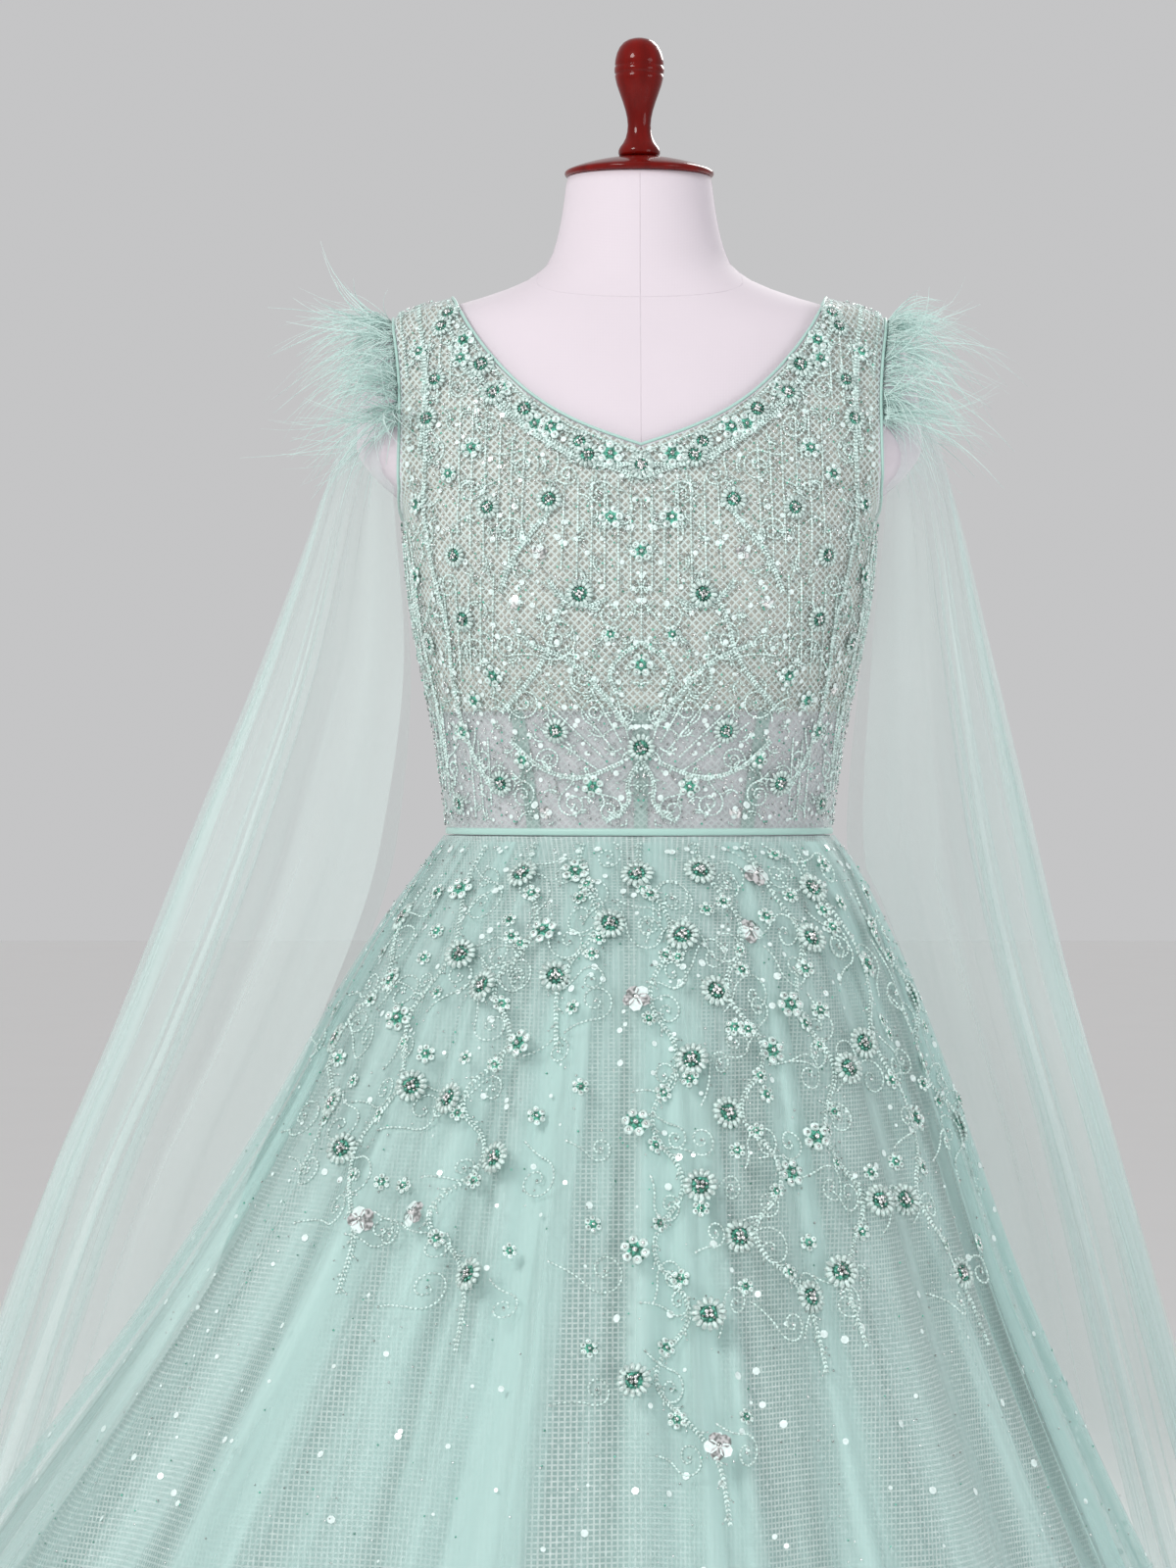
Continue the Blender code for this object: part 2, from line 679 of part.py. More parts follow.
def strip(name, edge, closed, side, mirror=False):
    """A binding just outside an edge, given as places in order.

    Each point of the edge is moved off the panel, square to the edge: to the
    right of the way along it where side is 1, to the left where it is -1.
    """
    points = [form_point(*place) for place in edge]
    count = len(points)
    frames = {}
    for row, place in enumerate(edge):
        normal = normal_of(form_point, *place)
        before = points[row - 1] if closed or row > 0 else points[row]
        after = points[(row + 1) % count] if closed or row < count - 1 else points[row]
        away = (after - before).cross(normal).normalized() * side
        frames[(row, 0)] = (points[row] + away * BINDING_GAP, normal)
        frames[(row, 1)] = (points[row] + away * (BINDING_GAP + BINDING_WIDE), normal)
    quads = []
    for row in range(count if closed else count - 1):
        after = (row + 1) % count
        quads.append([(row, 0), (row, 1), (after, 1), (after, 0)])
    return wall(name, frames, quads, BINDING_FACES, "satin_binding", mirror=mirror)


def strap_edge(rows, columns, column, back):
    """Edge places of a half panel above the V and the underarm, up to the shoulder seam."""
    half = half_panel(rows, columns, back)
    return [half[(row, column)] for row in range(rows[0] + rows[1] + 1, sum(rows))]


def make_neck_binding():
    """One strip from the centre back over both shoulders and round the V."""
    front = strap_edge(FRONT_ROWS, FRONT_COLUMNS, 0, back=False)
    back = strap_edge(BACK_ROWS, BACK_COLUMNS, 0, back=True)
    centre_back = (centre_angle(BACK_NECK), BACK_NECK)
    right = front + [(0.0, NECK_TOP_HEIGHT)] + back[::-1] + [centre_back]
    left = [(-math.pi - angle, height) for angle, height in right[::-1]]
    strip("neck_binding", left + [(-math.pi / 2, NECK_POINT)] + right, closed=False, side=-1)


def make_armhole_bindings():
    """A strip round each armhole, beside the edges of the front and of the back."""
    front = strap_edge(FRONT_ROWS, FRONT_COLUMNS, FRONT_COLUMNS, back=False)
    back = strap_edge(BACK_ROWS, BACK_COLUMNS, BACK_COLUMNS, back=True)
    edge = [(0.0, UNDERARM)] + front + [(0.0, ridge_height(0.0))] + back[::-1]
    strip("armhole_binding_right", edge, closed=True, side=1)
    strip("armhole_binding_left", edge, closed=True, side=1, mirror=True)


def centre_back_seat(height):
    """A point just clear of the back's centre edge, on the line between its rows, and the normal."""
    half = half_panel(BACK_ROWS, BACK_COLUMNS, back=True)
    rows = range(BACK_ROWS[0] + BACK_ROWS[1] + 1)
    column = [half[(row, 0)] for row in rows]
    low, high = [pair for pair in zip(column, column[1:]) if pair[0][1] <= height][-1]
    frames = frames_on(form_point, {0: low, 1: high})
    below, above = (point + normal * BODICE_FACES[1] for point, normal in frames.values())
    normal = Vector((1.0, 0.0, 0.0)).cross(above - below).normalized()
    if normal.y < 0.0:
        normal = -normal
    middle = mix(below, above, (height - low[1]) / (high[1] - low[1]))
    return Vector((0.0, middle.y, middle.z)) + normal * BUTTON_CLEAR, normal


def make_buttons():
    """Covered buttons down the centre back, each seated just clear of the cloth."""
    outline = [
        (0.0, 0.0), (BUTTON_RADIUS, 0.0), (BUTTON_RADIUS, 0.3 * BUTTON_HIGH),
        (0.6 * BUTTON_RADIUS, 0.85 * BUTTON_HIGH), (0.0, BUTTON_HIGH),
    ]
    for number in range(BUTTONS):
        bm = spun(outline, BUTTON_STEPS)
        seat, normal = centre_back_seat(mix(*BUTTON_SPAN, number / (BUTTONS - 1)))
        turn = Vector((0.0, 0.0, 1.0)).rotation_difference(normal).to_matrix().to_4x4()
        bmesh.ops.transform(bm, verts=bm.verts, matrix=turn)
        bmesh.ops.translate(bm, verts=bm.verts, vec=seat)
        add_object(f"button_{number + 1}", bm, "satin_binding")


# Skirt

def phase_angles(folds, points, start, end):
    """Angles at even steps of the fold's phase, from one side seam to the other."""
    count = folds * points // 2
    angles = []
    for i in range(count + 1):
        target = mix(fold_phase(start, folds), fold_phase(end, folds), i / count)
        low, high = start, end
        for _ in range(40):
            middle = 0.5 * (low + high)
            if fold_phase(middle, folds) < target:
                low = middle
            else:
                high = middle
        angles.append(0.5 * (low + high))
    return angles


def skirt_panel(surface, heights, angles):
    """Places of half a skirt; its end columns keep the seam's gap at every height."""
    places = {}
    last = len(angles) - 1
    for row, height in enumerate(heights):
        for column, angle in enumerate(angles):
            gap = 0.5 * SEAM / skirt_front(height)
            if column == 0:
                angle += gap
            elif column == last:
                angle -= gap
            places[(row, column)] = (angle, height)
    return places, grid_quads(len(heights) - 1, last)


def skirt_spots():
    """Flower centres on the skirt, swinging from side to side down each spray."""
    spots = []
    for spray in SPRAYS:
        for i in range(spray.number):
            height = mix(spray.top, spray.bottom, i / (spray.number - 1))
            swing = SPRAY_SWING * (1.0 if i % 2 else -1.0)
            spots.append(skirt_point(math.radians(spray.angle + swing), height))
    return spots


def make_skirt():
    """The gathered tulle skirt: a front and a back half with a seam at each side."""
    heights = [section.height for section in SKIRT]
    spots = skirt_spots()
    for name, start, end, back in (
        ("skirt_front", -math.pi, 0.0, False), ("skirt_back", 0.0, math.pi, True),
    ):
        angles = phase_angles(FOLDS, POINTS_A_FOLD, start, end)
        places, quads = skirt_panel(skirt_point, heights, angles)

        def inside(key, last=len(angles) - 1):
            return 0 < key[0] < len(heights) - 2 and 1 < key[1] < last - 1

        here = [spot for spot in spots if (spot.y > 0.0) == back]
        raised = nearest_keys(skirt_point, places, here, inside)
        wall(name, frames_on(skirt_point, places), quads, (-SKIRT_THICK, 0.0), "mint_tulle", raised)


def make_underskirt():
    """The net underskirt, in two halves like the skirt, with fewer and softer folds."""
    heights = [*NET_HEIGHTS, SKIRT[-1].height]
    for name, start, end in (
        ("underskirt_front", -math.pi, 0.0), ("underskirt_back", 0.0, math.pi),
    ):
        angles = phase_angles(NET_FOLDS, NET_POINTS_A_FOLD, start, end)
        places, quads = skirt_panel(net_point, heights, angles)
        wall(name, frames_on(net_point, places), quads, (-UNDERSKIRT_THICK, 0.0), "mint_net")


# Wings

def body_reach(side, y, height):
    """How far the dressed body reaches sideways at this depth and height."""
    reach = 0.0
    deep = form_back(height) if y > 0.0 else form_front(height)
    if abs(y) < deep:
        square = form_square(height)
        reach = form_width(height) * (1.0 - abs(y / deep) ** square) ** (1.0 / square)
        reach += WING_OFF_FORM if height > ARMHOLE_LOW + 0.012 else WING_OFF_BODICE
    if height < SKIRT[-1].height + WING_NEAR_SKIRT:
        wide = skirt_right(height) if side > 0 else skirt_left(height)
        deep = skirt_back(height) if y > 0.0 else skirt_front(height)
        if abs(y) < deep:
            reach = max(reach, wide * math.sqrt(1.0 - (y / deep) ** 2) + WING_OFF_SKIRT)
    return reach


def wing_surface(side, table):
    """The wing's middle face on its own side, as a function of share and height."""
    columns = {name: smooth_column(table, name) for name in WingSection._fields[1:]}

    def surface(share, height):
        y = mix(columns["front"](height), columns["back"](height), share)
        bow = max(0.0, math.sin(math.pi * min(1.0, max(0.0, share)))) ** 0.6
        x = mix(columns["inner"](height), columns["outer"](height), bow)
        x = max(x, body_reach(side, y, height) + 0.5 * WING_THICK)
        x += columns["fold"](height) * (1.0 - math.cos(math.tau * WING_FOLDS * share))
        return Vector((x, y, height))

    return surface


def make_wing(name, side, table):
    """A sheer panel that hangs from the outer edge of the shoulder trim to near the floor."""
    surface = wing_surface(side, table)
    places = {}
    seats = {}
    for column in range(WING_COLUMNS + 1):
        share = column / WING_COLUMNS
        seat = trim_place(share, TRIM_OUTER + SEAT)
        for row, level in enumerate(WING_LEVELS):
            places[(row, column)] = (share, mix(WING_HEM, seat[1], level))
        seats[(row, column)] = seat
    frames = frames_on(surface, places)
    for key, (point, normal) in frames_on(form_point, seats).items():
        frames[key] = (point + normal * (0.5 * sum(TRIM_FACES)), normal)
    half = 0.5 * WING_THICK
    quads = grid_quads(len(WING_LEVELS) - 1, WING_COLUMNS)
    wall(name, frames, quads, (-half, half), "mint_tulle", mirror=side < 0)


# Feather trims

def lock_points(root, direction, length, sag):
    """Root, middle and tip of a lock that starts straight and then bends down."""
    middle = root + direction * (0.5 * length) + Vector((0.0, 0.0, -0.15 * sag))
    tip = root + direction * length + Vector((0.0, 0.0, -sag))
    return middle, tip


def add_lock(bm, root, direction, length, sag):
    """A three-sided lock with a fused root, a bent middle and a fine tip."""
    middle, tip = lock_points(root, direction, length, sag)
    first = direction.orthogonal().normalized()
    second = direction.cross(first).normalized()
    rings = []
    for centre, radius in ((root, LOCK_ROOT), (middle, LOCK_ROOT * 0.8)):
        ring = []
        for i in range(3):
            angle = math.tau * i / 3
            away = first * math.cos(angle) + second * math.sin(angle)
            ring.append(bm.verts.new(centre + away * radius))
        rings.append(ring)
    end = bm.verts.new(tip)
    bm.faces.new(rings[0][::-1])
    for i in range(3):
        j = (i + 1) % 3
        bm.faces.new([rings[0][i], rings[0][j], rings[1][j], rings[1][i]])
        bm.faces.new([rings[1][i], rings[1][j], end])


def trim_place(share, outset):
    """A place on the shoulder trim's strip: share 0 at its front end, 1 at its back end."""
    angle, height = armhole_path(share, outset, TRIM_LOW)
    if abs(share - 0.5) < 0.001:
        return 0.0, height
    return (angle if share > 0.5 else -angle), height


def make_trim(name, mirror):
    """A narrow strip beside the armhole with a feather lock fused into each of its steps."""
    places = {}
    for row in range(LOCKS + 1):
        for column, outset in enumerate((TRIM_INNER, TRIM_OUTER)):
            places[(row, column)] = trim_place(row / LOCKS, outset)
    frames = frames_on(form_point, places)
    quads = grid_quads(LOCKS, 1)
    backing = wall(name, frames, quads, TRIM_FACES, "ostrich_feather", mirror=mirror)

    bm = bmesh.new()
    flip = Vector((-1.0, 1.0, 1.0)) if mirror else Vector((1.0, 1.0, 1.0))
    for number, quad in enumerate(quads):
        corners = [frames[key] for key in quad]
        normal = sum((normal for _, normal in corners), Vector()).normalized()
        root = sum((point for point, _ in corners), Vector()) / 4.0
        root += normal * (0.5 * sum(TRIM_FACES))
        lean = 0.30 * math.sin(number * 2.4)
        outward = 0.55 + 0.25 * math.sin(number * 1.3)
        direction = normal + Vector((outward, 0.25 * math.cos(number * 1.9), lean))
        length = LOCK_LONG + LOCK_LONG_VARIES * math.sin(number * 1.7 + 0.6)
        sag = LOCK_SAG * (1.0 + 0.5 * math.cos(number * 2.9))
        add_lock(bm, root * flip, (direction * flip).normalized(), length, sag)
    bmesh.ops.recalc_face_normals(bm, faces=bm.faces)
    locks = add_object(name + "_locks", bm, "ostrich_feather")
    locks.hide_render = True
    locks.display_type = "WIRE"
    union = backing.modifiers.new("fuse_roots", "BOOLEAN")
    union.operation = "UNION"
    union.solver = "EXACT"
    union.object = locks


def main():
    clear_scene()
    make_form()
    make_stand()
    make_lining()
    make_casings()
    make_bodice()
    make_waistband()
    make_neck_binding()
    make_armhole_bindings()
    make_buttons()
    make_underskirt()
    make_skirt()
    make_wing("wing_left", -1, LEFT_WING)
    make_wing("wing_right", 1, RIGHT_WING)
    make_trim("feather_trim_left", True)
    make_trim("feather_trim_right", False)


main()
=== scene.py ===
"""Beaded tulle dress on a dress form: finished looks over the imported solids.

The surfaces repeat the part's own section tables, so every piece lies where its
solid is. The front faces -Y, the floor is z = 0 and lengths are metres. Angles
run round the body from +X, so -90 degrees is the centre front.
"""
import math
from collections import namedtuple

import bmesh
import bpy
import numpy as np
from mathutils import Matrix, Vector


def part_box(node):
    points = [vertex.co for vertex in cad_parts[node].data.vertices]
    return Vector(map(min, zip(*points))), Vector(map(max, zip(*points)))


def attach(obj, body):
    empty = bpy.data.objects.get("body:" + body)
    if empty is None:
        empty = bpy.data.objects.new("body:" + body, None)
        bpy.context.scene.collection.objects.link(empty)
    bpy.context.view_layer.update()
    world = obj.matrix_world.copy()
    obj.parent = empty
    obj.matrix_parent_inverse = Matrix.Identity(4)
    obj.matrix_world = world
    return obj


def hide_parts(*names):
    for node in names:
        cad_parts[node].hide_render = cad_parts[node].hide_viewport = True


bl_info = {
    "name": "Beaded Tulle Dress",
    "version": (1, 0, 0),
    "blender": (4, 5, 0),
    "location": "View3D > Sidebar > Dress",
    "description": "Finishes a beaded tulle dress and its dress form over the packed model",
    "category": "Object",
}

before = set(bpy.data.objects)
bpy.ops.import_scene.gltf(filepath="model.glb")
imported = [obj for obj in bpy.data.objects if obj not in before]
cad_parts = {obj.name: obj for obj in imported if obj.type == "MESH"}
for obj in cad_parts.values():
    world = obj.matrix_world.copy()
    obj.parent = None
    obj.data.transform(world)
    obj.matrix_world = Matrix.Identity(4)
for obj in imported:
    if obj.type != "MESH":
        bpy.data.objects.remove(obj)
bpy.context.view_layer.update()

# Form, bodice and skirt sizes, the same as the solids'
WAIST = 1.0780
WAISTBAND_HIGH = 0.0050
UNDERARM = 1.2900
ARMHOLE_LOW = 1.2935
NECK_POINT = 1.331
BACK_NECK = 1.385
LINING_HEM = 1.1597
SKIRT_HEM = 0.012
WING_HEM = 0.030
NECK_SLOPE, NECK_RISE, NECK_POWER, BACK_NECK_POWER = 0.33, 37.0, 3.1, 2.4
ARMHOLE_X, ARMHOLE_SPREAD, ARMHOLE_SPREAD_FROM, ARMHOLE_SPREAD_OVER = 0.157, 0.008, 1.360, 0.070
SKIRT_TOP = 1.0752
FOLDS, SECOND_FOLDS, NET_FOLDS = 36, 52, 14
SPACING_TWICE, SPACING_FOUR_TIMES = 0.9, 0.7
TRIM_OUTER, TRIM_MIDDLE, TRIM_LOW = 0.0098, 0.0025, 1.352
CASING_WIDE, CASING_AT_TOP, CASING_AT_WAIST = 0.009, 0.0775, 0.0705
BUTTONS, BUTTON_THICK = 8, 0.0014

# Distances of the finished cloth from the form
LINING_OFF = 0.0037
BODICE_OFF = 0.0058
BEADING_OFF = 0.0069
BINDING_OFF, BINDING_RADIUS = 0.0055, 0.0011
CASING_OFF, CASING_BULGE = 0.0016, 0.0011
BAND_OFF, BAND_BULGE = 0.0058, 0.0008
BUTTON_OFF = 0.0066

FormSection = namedtuple("FormSection", "height half_width front back square")
FORM = [FormSection(*row) for row in (
    (0.860, 0.166, 0.114, 0.118, 2.0),
    (0.905, 0.170, 0.114, 0.120, 2.0),
    (0.960, 0.162, 0.108, 0.114, 2.0),
    (1.020, 0.142, 0.100, 0.100, 2.0),
    (1.052, 0.1310, 0.0950, 0.0890, 2.0),
    (1.080, 0.1258, 0.0925, 0.0850, 2.0),
    (1.107, 0.1285, 0.096, 0.0855, 2.05),
    (1.144, 0.1340, 0.105, 0.0895, 2.15),
    (1.203, 0.1458, 0.119, 0.1005, 2.5),
    (1.230, 0.1508, 0.123, 0.1045, 2.65),
    (1.257, 0.1540, 0.123, 0.1075, 2.8),
    (1.288, 0.1558, 0.117, 0.1095, 3.1),
    (1.298, 0.1585, 0.116, 0.111, 2.85),
    (1.307, 0.1665, 0.1140, 0.111, 2.45),
    (1.318, 0.1800, 0.111, 0.111, 2.30),
    (1.340, 0.1930, 0.105, 0.110, 2.05),
    (1.370, 0.1910, 0.095, 0.106, 2.0),
    (1.395, 0.1850, 0.084, 0.099, 2.0),
    (1.415, 0.1750, 0.074, 0.091, 2.0),
    (1.427, 0.1570, 0.067, 0.084, 2.0),
    (1.436, 0.1270, 0.062, 0.078, 2.0),
    (1.445, 0.0970, 0.058, 0.072, 2.0),
    (1.455, 0.0740, 0.055, 0.066, 2.0),
    (1.467, 0.0610, 0.053, 0.061, 2.0),
    (1.495, 0.0530, 0.049, 0.053, 2.0),
    (1.524, 0.0490, 0.047, 0.048, 2.0),
)]

SkirtSection = namedtuple("SkirtSection", "height left right front back fold net_fold")
SKIRT = [SkirtSection(*row) for row in (
    (SKIRT_HEM, 0.835, 0.610, 0.600, 0.640, 0.026, 0.016),
    (0.230, 0.716, 0.520, 0.512, 0.546, 0.022, 0.014),
    (0.440, 0.578, 0.419, 0.420, 0.450, 0.018, 0.011),
    (0.620, 0.443, 0.330, 0.342, 0.366, 0.0145, 0.009),
    (0.770, 0.330, 0.263, 0.275, 0.290, 0.011, 0.006),
    (0.890, 0.252, 0.220, 0.224, 0.232, 0.008, 0.004),
    (0.970, 0.206, 0.190, 0.186, 0.190, 0.0055, 0.003),
    (1.020, 0.174, 0.167, 0.154, 0.154, 0.0036, 0.0018),
    (1.055, 0.1480, 0.1480, 0.1230, 0.1180, 0.0018, 0.0008),
    (SKIRT_TOP, 0.1335, 0.1335, 0.1000, 0.0922, 0.0008, 0.0001),
)]

WingSection = namedtuple("WingSection", "height outer inner front back fold")
LEFT_WING = [WingSection(*row) for row in (
    (WING_HEM, 0.660, 0.500, -0.280, 0.330, 0.014),
    (0.300, 0.580, 0.420, -0.225, 0.260, 0.012),
    (0.600, 0.470, 0.340, -0.170, 0.200, 0.010),
    (0.850, 0.385, 0.257, -0.120, 0.150, 0.008),
    (0.940, 0.348, 0.216, -0.100, 0.130, 0.007),
    (1.070, 0.298, 0.173, -0.075, 0.100, 0.006),
    (1.200, 0.248, 0.160, -0.062, 0.075, 0.004),
    (1.300, 0.216, 0.166, -0.048, 0.052, 0.0015),
    (1.345, 0.204, 0.166, -0.048, 0.052, 0.0),
    (1.430, 0.150, 0.140, -0.048, 0.052, 0.0),
)]
RIGHT_WING = [WingSection(*row) for row in (
    (WING_HEM, 0.600, 0.360, 0.120, 0.460, 0.014),
    (0.300, 0.505, 0.310, 0.100, 0.400, 0.012),
    (0.600, 0.402, 0.250, 0.080, 0.310, 0.010),
    (0.850, 0.328, 0.200, 0.060, 0.210, 0.008),
    (0.976, 0.290, 0.170, 0.040, 0.170, 0.007),
    (1.083, 0.262, 0.152, -0.010, 0.125, 0.006),
    (1.200, 0.234, 0.158, -0.048, 0.085, 0.004),
    (1.300, 0.214, 0.166, -0.048, 0.052, 0.0015),
    (1.345, 0.204, 0.166, -0.048, 0.052, 0.0),
    (1.430, 0.150, 0.140, -0.048, 0.052, 0.0),
)]

# Embroidery on one half of the bodice, in millimetres along the body from the centre, and height.
# The other half mirrors it. kind is loops (round flower), round (scalloped flower) or small.
Flower = namedtuple("Flower", "across height kind size")
BODICE_FLOWERS = [Flower(*row) for row in (
    (0, 1317, "loops", 15), (35, 1325, "loops", 15), (69, 1346, "round", 14), (97, 1368, "loops", 15),
    (120, 1392, "round", 13), (60, 1296, "loops", 15), (0, 1262, "round", 13), (40, 1235, "loops", 16),
    (144, 1352, "loops", 14), (112, 1331, "round", 13), (100, 1291, "loops", 14), (158, 1296, "round", 13),
    (124, 1262, "loops", 14), (166, 1250, "round", 13), (119, 1221, "loops", 15), (156, 1206, "loops", 13),
    (98, 1184, "round", 13), (0, 1190, "round", 14), (55, 1147, "loops", 15), (0, 1136, "loops", 16),
    (94, 1112, "loops", 15), (126, 1147, "round", 13), (134, 1098, "loops", 13), (31, 1110, "round", 13),
    (66, 1262, "small", 9), (20, 1284, "round", 14), (82, 1230, "small", 8), (142, 1176, "small", 8),
    (78, 1128, "round", 11), (128, 1316, "round", 11), (62, 1092, "small", 8), (114, 1168, "round", 12),
    (20, 1210, "round", 10), (134, 1414, "loops", 13), (150, 1398, "round", 12), (138, 1378, "loops", 13),
)]

Scroll = namedtuple("Scroll", "across height radius start hand tail")
BODICE_SCROLLS = [Scroll(*row) for row in (
    (55, 1208, 15, -60, 1, 26), (19, 1222, 9, 200, -1, 14), (27, 1300, 8, 140, 1, 10),
    (76, 1318, 11, 60, -1, 16), (100, 1346, 9, 20, 1, 12), (122, 1372, 8, 90, -1, 10),
    (86, 1276, 9, 180, 1, 12), (140, 1330, 9, 120, -1, 12), (20, 1094, 9, 90, -1, 12),
    (44, 1098, 10, 60, 1, 12), (12, 1158, 8, -90, 1, 14), (30, 1160, 9, -70, -1, 14),
    (78, 1104, 9, 100, -1, 12), (110, 1128, 10, 40, 1, 14), (76, 1166, 11, -30, 1, 18),
    (112, 1198, 11, 10, -1, 16), (142, 1226, 11, 70, 1, 14), (148, 1276, 9, 30, -1, 12),
    (140, 1122, 9, 80, 1, 12), (112, 1304, 9, 200, -1, 12), (36, 1180, 10, 30, 1, 16),
    (88, 1204, 9, 150, -1, 12), (176, 1228, 9, 60, 1, 12), (172, 1180, 9, 240, -1, 12),
    (48, 1312, 8, 30, 1, 10), (130, 1244, 8, 300, 1, 10), (60, 1128, 8, 10, -1, 12),
)]

# Straight rows of beads: across and height of the top and of the bottom
Row = namedtuple("Row", "across height low_across low_height")
BODICE_ROWS = [Row(*row) for row in (
    (7, 1303, 7, 1238), (15, 1308, 15, 1234), (24, 1311, 24, 1240), (32, 1310, 33, 1236),
    (41, 1308, 42, 1246), (50, 1305, 52, 1252), (76, 1334, 78, 1266), (84, 1338, 86, 1256),
    (92, 1344, 94, 1262), (102, 1350, 103, 1256), (111, 1356, 112, 1266), (120, 1362, 121, 1274),
    (96, 1248, 98, 1196), (105, 1246, 107, 1190), (114, 1242, 115, 1186), (124, 1238, 124, 1184),
    (134, 1234, 133, 1190), (126, 1408, 128, 1366), (134, 1410, 137, 1362), (142, 1408, 146, 1366),
    (170, 1280, 166, 1196), (178, 1280, 174, 1190), (186, 1276, 181, 1190), (194, 1272, 188, 1194),
    (8, 1142, 16, 1170), (13, 1140, 32, 1174), (19, 1136, 48, 1174), (25, 1130, 60, 1164),
    (29, 1122, 70, 1152), (150, 1166, 146, 1104), (158, 1164, 153, 1108), (166, 1160, 160, 1112),
    (104, 1142, 102, 1098), (112, 1140, 109, 1094), (120, 1138, 116, 1094), (0, 1296, 0, 1274),
    (0, 1252, 0, 1206),
)]

# Leafy stems, as points that they run through
BODICE_STEMS = [
    [(42, 1240), (56, 1222), (60, 1198), (74, 1178), (92, 1160)],
    [(8, 1148), (28, 1176), (46, 1194), (74, 1204)],
    [(12, 1126), (38, 1114), (64, 1120), (86, 1140)],
    [(100, 1106), (122, 1138), (134, 1178), (132, 1212), (146, 1256), (150, 1300)],
    [(148, 1124), (160, 1176), (170, 1226), (178, 1270)],
    [(5, 1319), (34, 1318), (66, 1336), (92, 1356), (114, 1380), (130, 1404)],
    [(58, 1290), (70, 1276), (84, 1258), (92, 1238)],
    [(150, 1330), (146, 1352), (146, 1376), (148, 1398)],
    [(0, 1204), (14, 1196), (22, 1184), (16, 1172)],
    [(22, 1232), (34, 1226), (50, 1230), (60, 1244)],
    [(0, 1128), (10, 1112), (6, 1098), (22, 1086)],
]

Spray = namedtuple("Spray", "angle top bottom number")
SPRAYS = [Spray(*row) for row in (
    (-116.0, 1.050, 0.800, 8), (-134.0, 1.040, 0.830, 6), (-152.0, 1.020, 0.900, 4),
    (-102.0, 1.052, 0.985, 3), (-86.0, 1.050, 0.700, 10), (-70.0, 1.052, 0.785, 8),
    (-55.0, 1.050, 0.800, 7), (-38.0, 1.040, 0.790, 6), (-20.0, 1.010, 0.880, 4), (60.0, 1.030, 0.860, 4),
    (90.0, 1.040, 0.780, 5), (120.0, 1.030, 0.860, 4),
)]
SPRAY_SWING = 5.0

CAP_OUTLINE = [
    (0.0, 1.5243), (0.0470, 1.5243), (0.0492, 1.5246), (0.0506, 1.5254), (0.0511, 1.5266),
    (0.0508, 1.5279), (0.0494, 1.5290), (0.0460, 1.5304), (0.0410, 1.5322), (0.0340, 1.5342),
    (0.0260, 1.5360), (0.0180, 1.5375), (0.0150, 1.5382), (0.0, 1.5384),
]
FINIAL_OUTLINE = [
    (0.0, 1.5387), (0.0120, 1.5387), (0.0136, 1.5392), (0.0143, 1.5408), (0.0142, 1.5428),
    (0.0133, 1.5450), (0.0112, 1.5478), (0.0094, 1.5512), (0.0083, 1.5555), (0.0079, 1.5600),
    (0.0083, 1.5648), (0.0094, 1.5700), (0.0112, 1.5758), (0.0134, 1.5820), (0.0152, 1.5872),
    (0.0162, 1.5912), (0.0167, 1.5938), (0.0162, 1.5944), (0.0162, 1.5951), (0.0168, 1.5957),
    (0.0170, 1.5976), (0.0169, 1.5996), (0.0163, 1.6002), (0.0163, 1.6009), (0.0167, 1.6016),
    (0.0164, 1.6050), (0.0154, 1.6092), (0.0136, 1.6132), (0.0110, 1.6164), (0.0078, 1.6184),
    (0.0042, 1.6195), (0.0, 1.6198),
]


def linear(text):
    """Turn an sRGB hex colour into linear red, green and blue."""
    parts = [int(text[i:i + 2], 16) / 255.0 for i in (1, 3, 5)]
    return tuple(c / 12.92 if c <= 0.04045 else ((c + 0.055) / 1.055) ** 2.4 for c in parts)


# Settings that a user would change

def colour(name, description, text):
    return bpy.props.FloatVectorProperty(
        name=name, description=description, subtype="COLOR", size=3, min=0.0, max=1.0, default=linear(text),
    )


def length(name, description, default):
    return bpy.props.FloatProperty(
        name=name, description=description, unit="LENGTH", subtype="DISTANCE", min=0.0, precision=4,
        default=default,
    )


class DressColours(bpy.types.PropertyGroup):
    tulle: colour("Tulle", "Outer tulle of the skirt and wings", "#CBEAE6")
    net: colour("Net", "Underskirt net", "#B4D6D1")
    lining: colour("Lining", "Bust lining under the sheer bodice", "#CCC8BF")
    thread: colour("Thread", "Embroidery thread and bugle beads", "#D3E9E4")
    glass: colour("Glass", "Dark green glass beads", "#55A892")
    silver: colour("Silver", "Silver-lined seed beads", "#DDE5E2")
    sequin: colour("Sequin", "White sequins", "#E2F3F1")
    satin: colour("Satin", "Waistband, bindings and buttons", "#AED2CA")
    feather: colour("Feather", "Dyed ostrich feather", "#D6F1EC")
    cover: colour("Cover", "Cotton cover of the dress form", "#DAD1D9")
    lacquer: colour("Lacquer", "Dark red lacquer of the finial and stand", "#6E0C06")
    floor: colour("Floor", "Studio floor", "#FBFAF9")


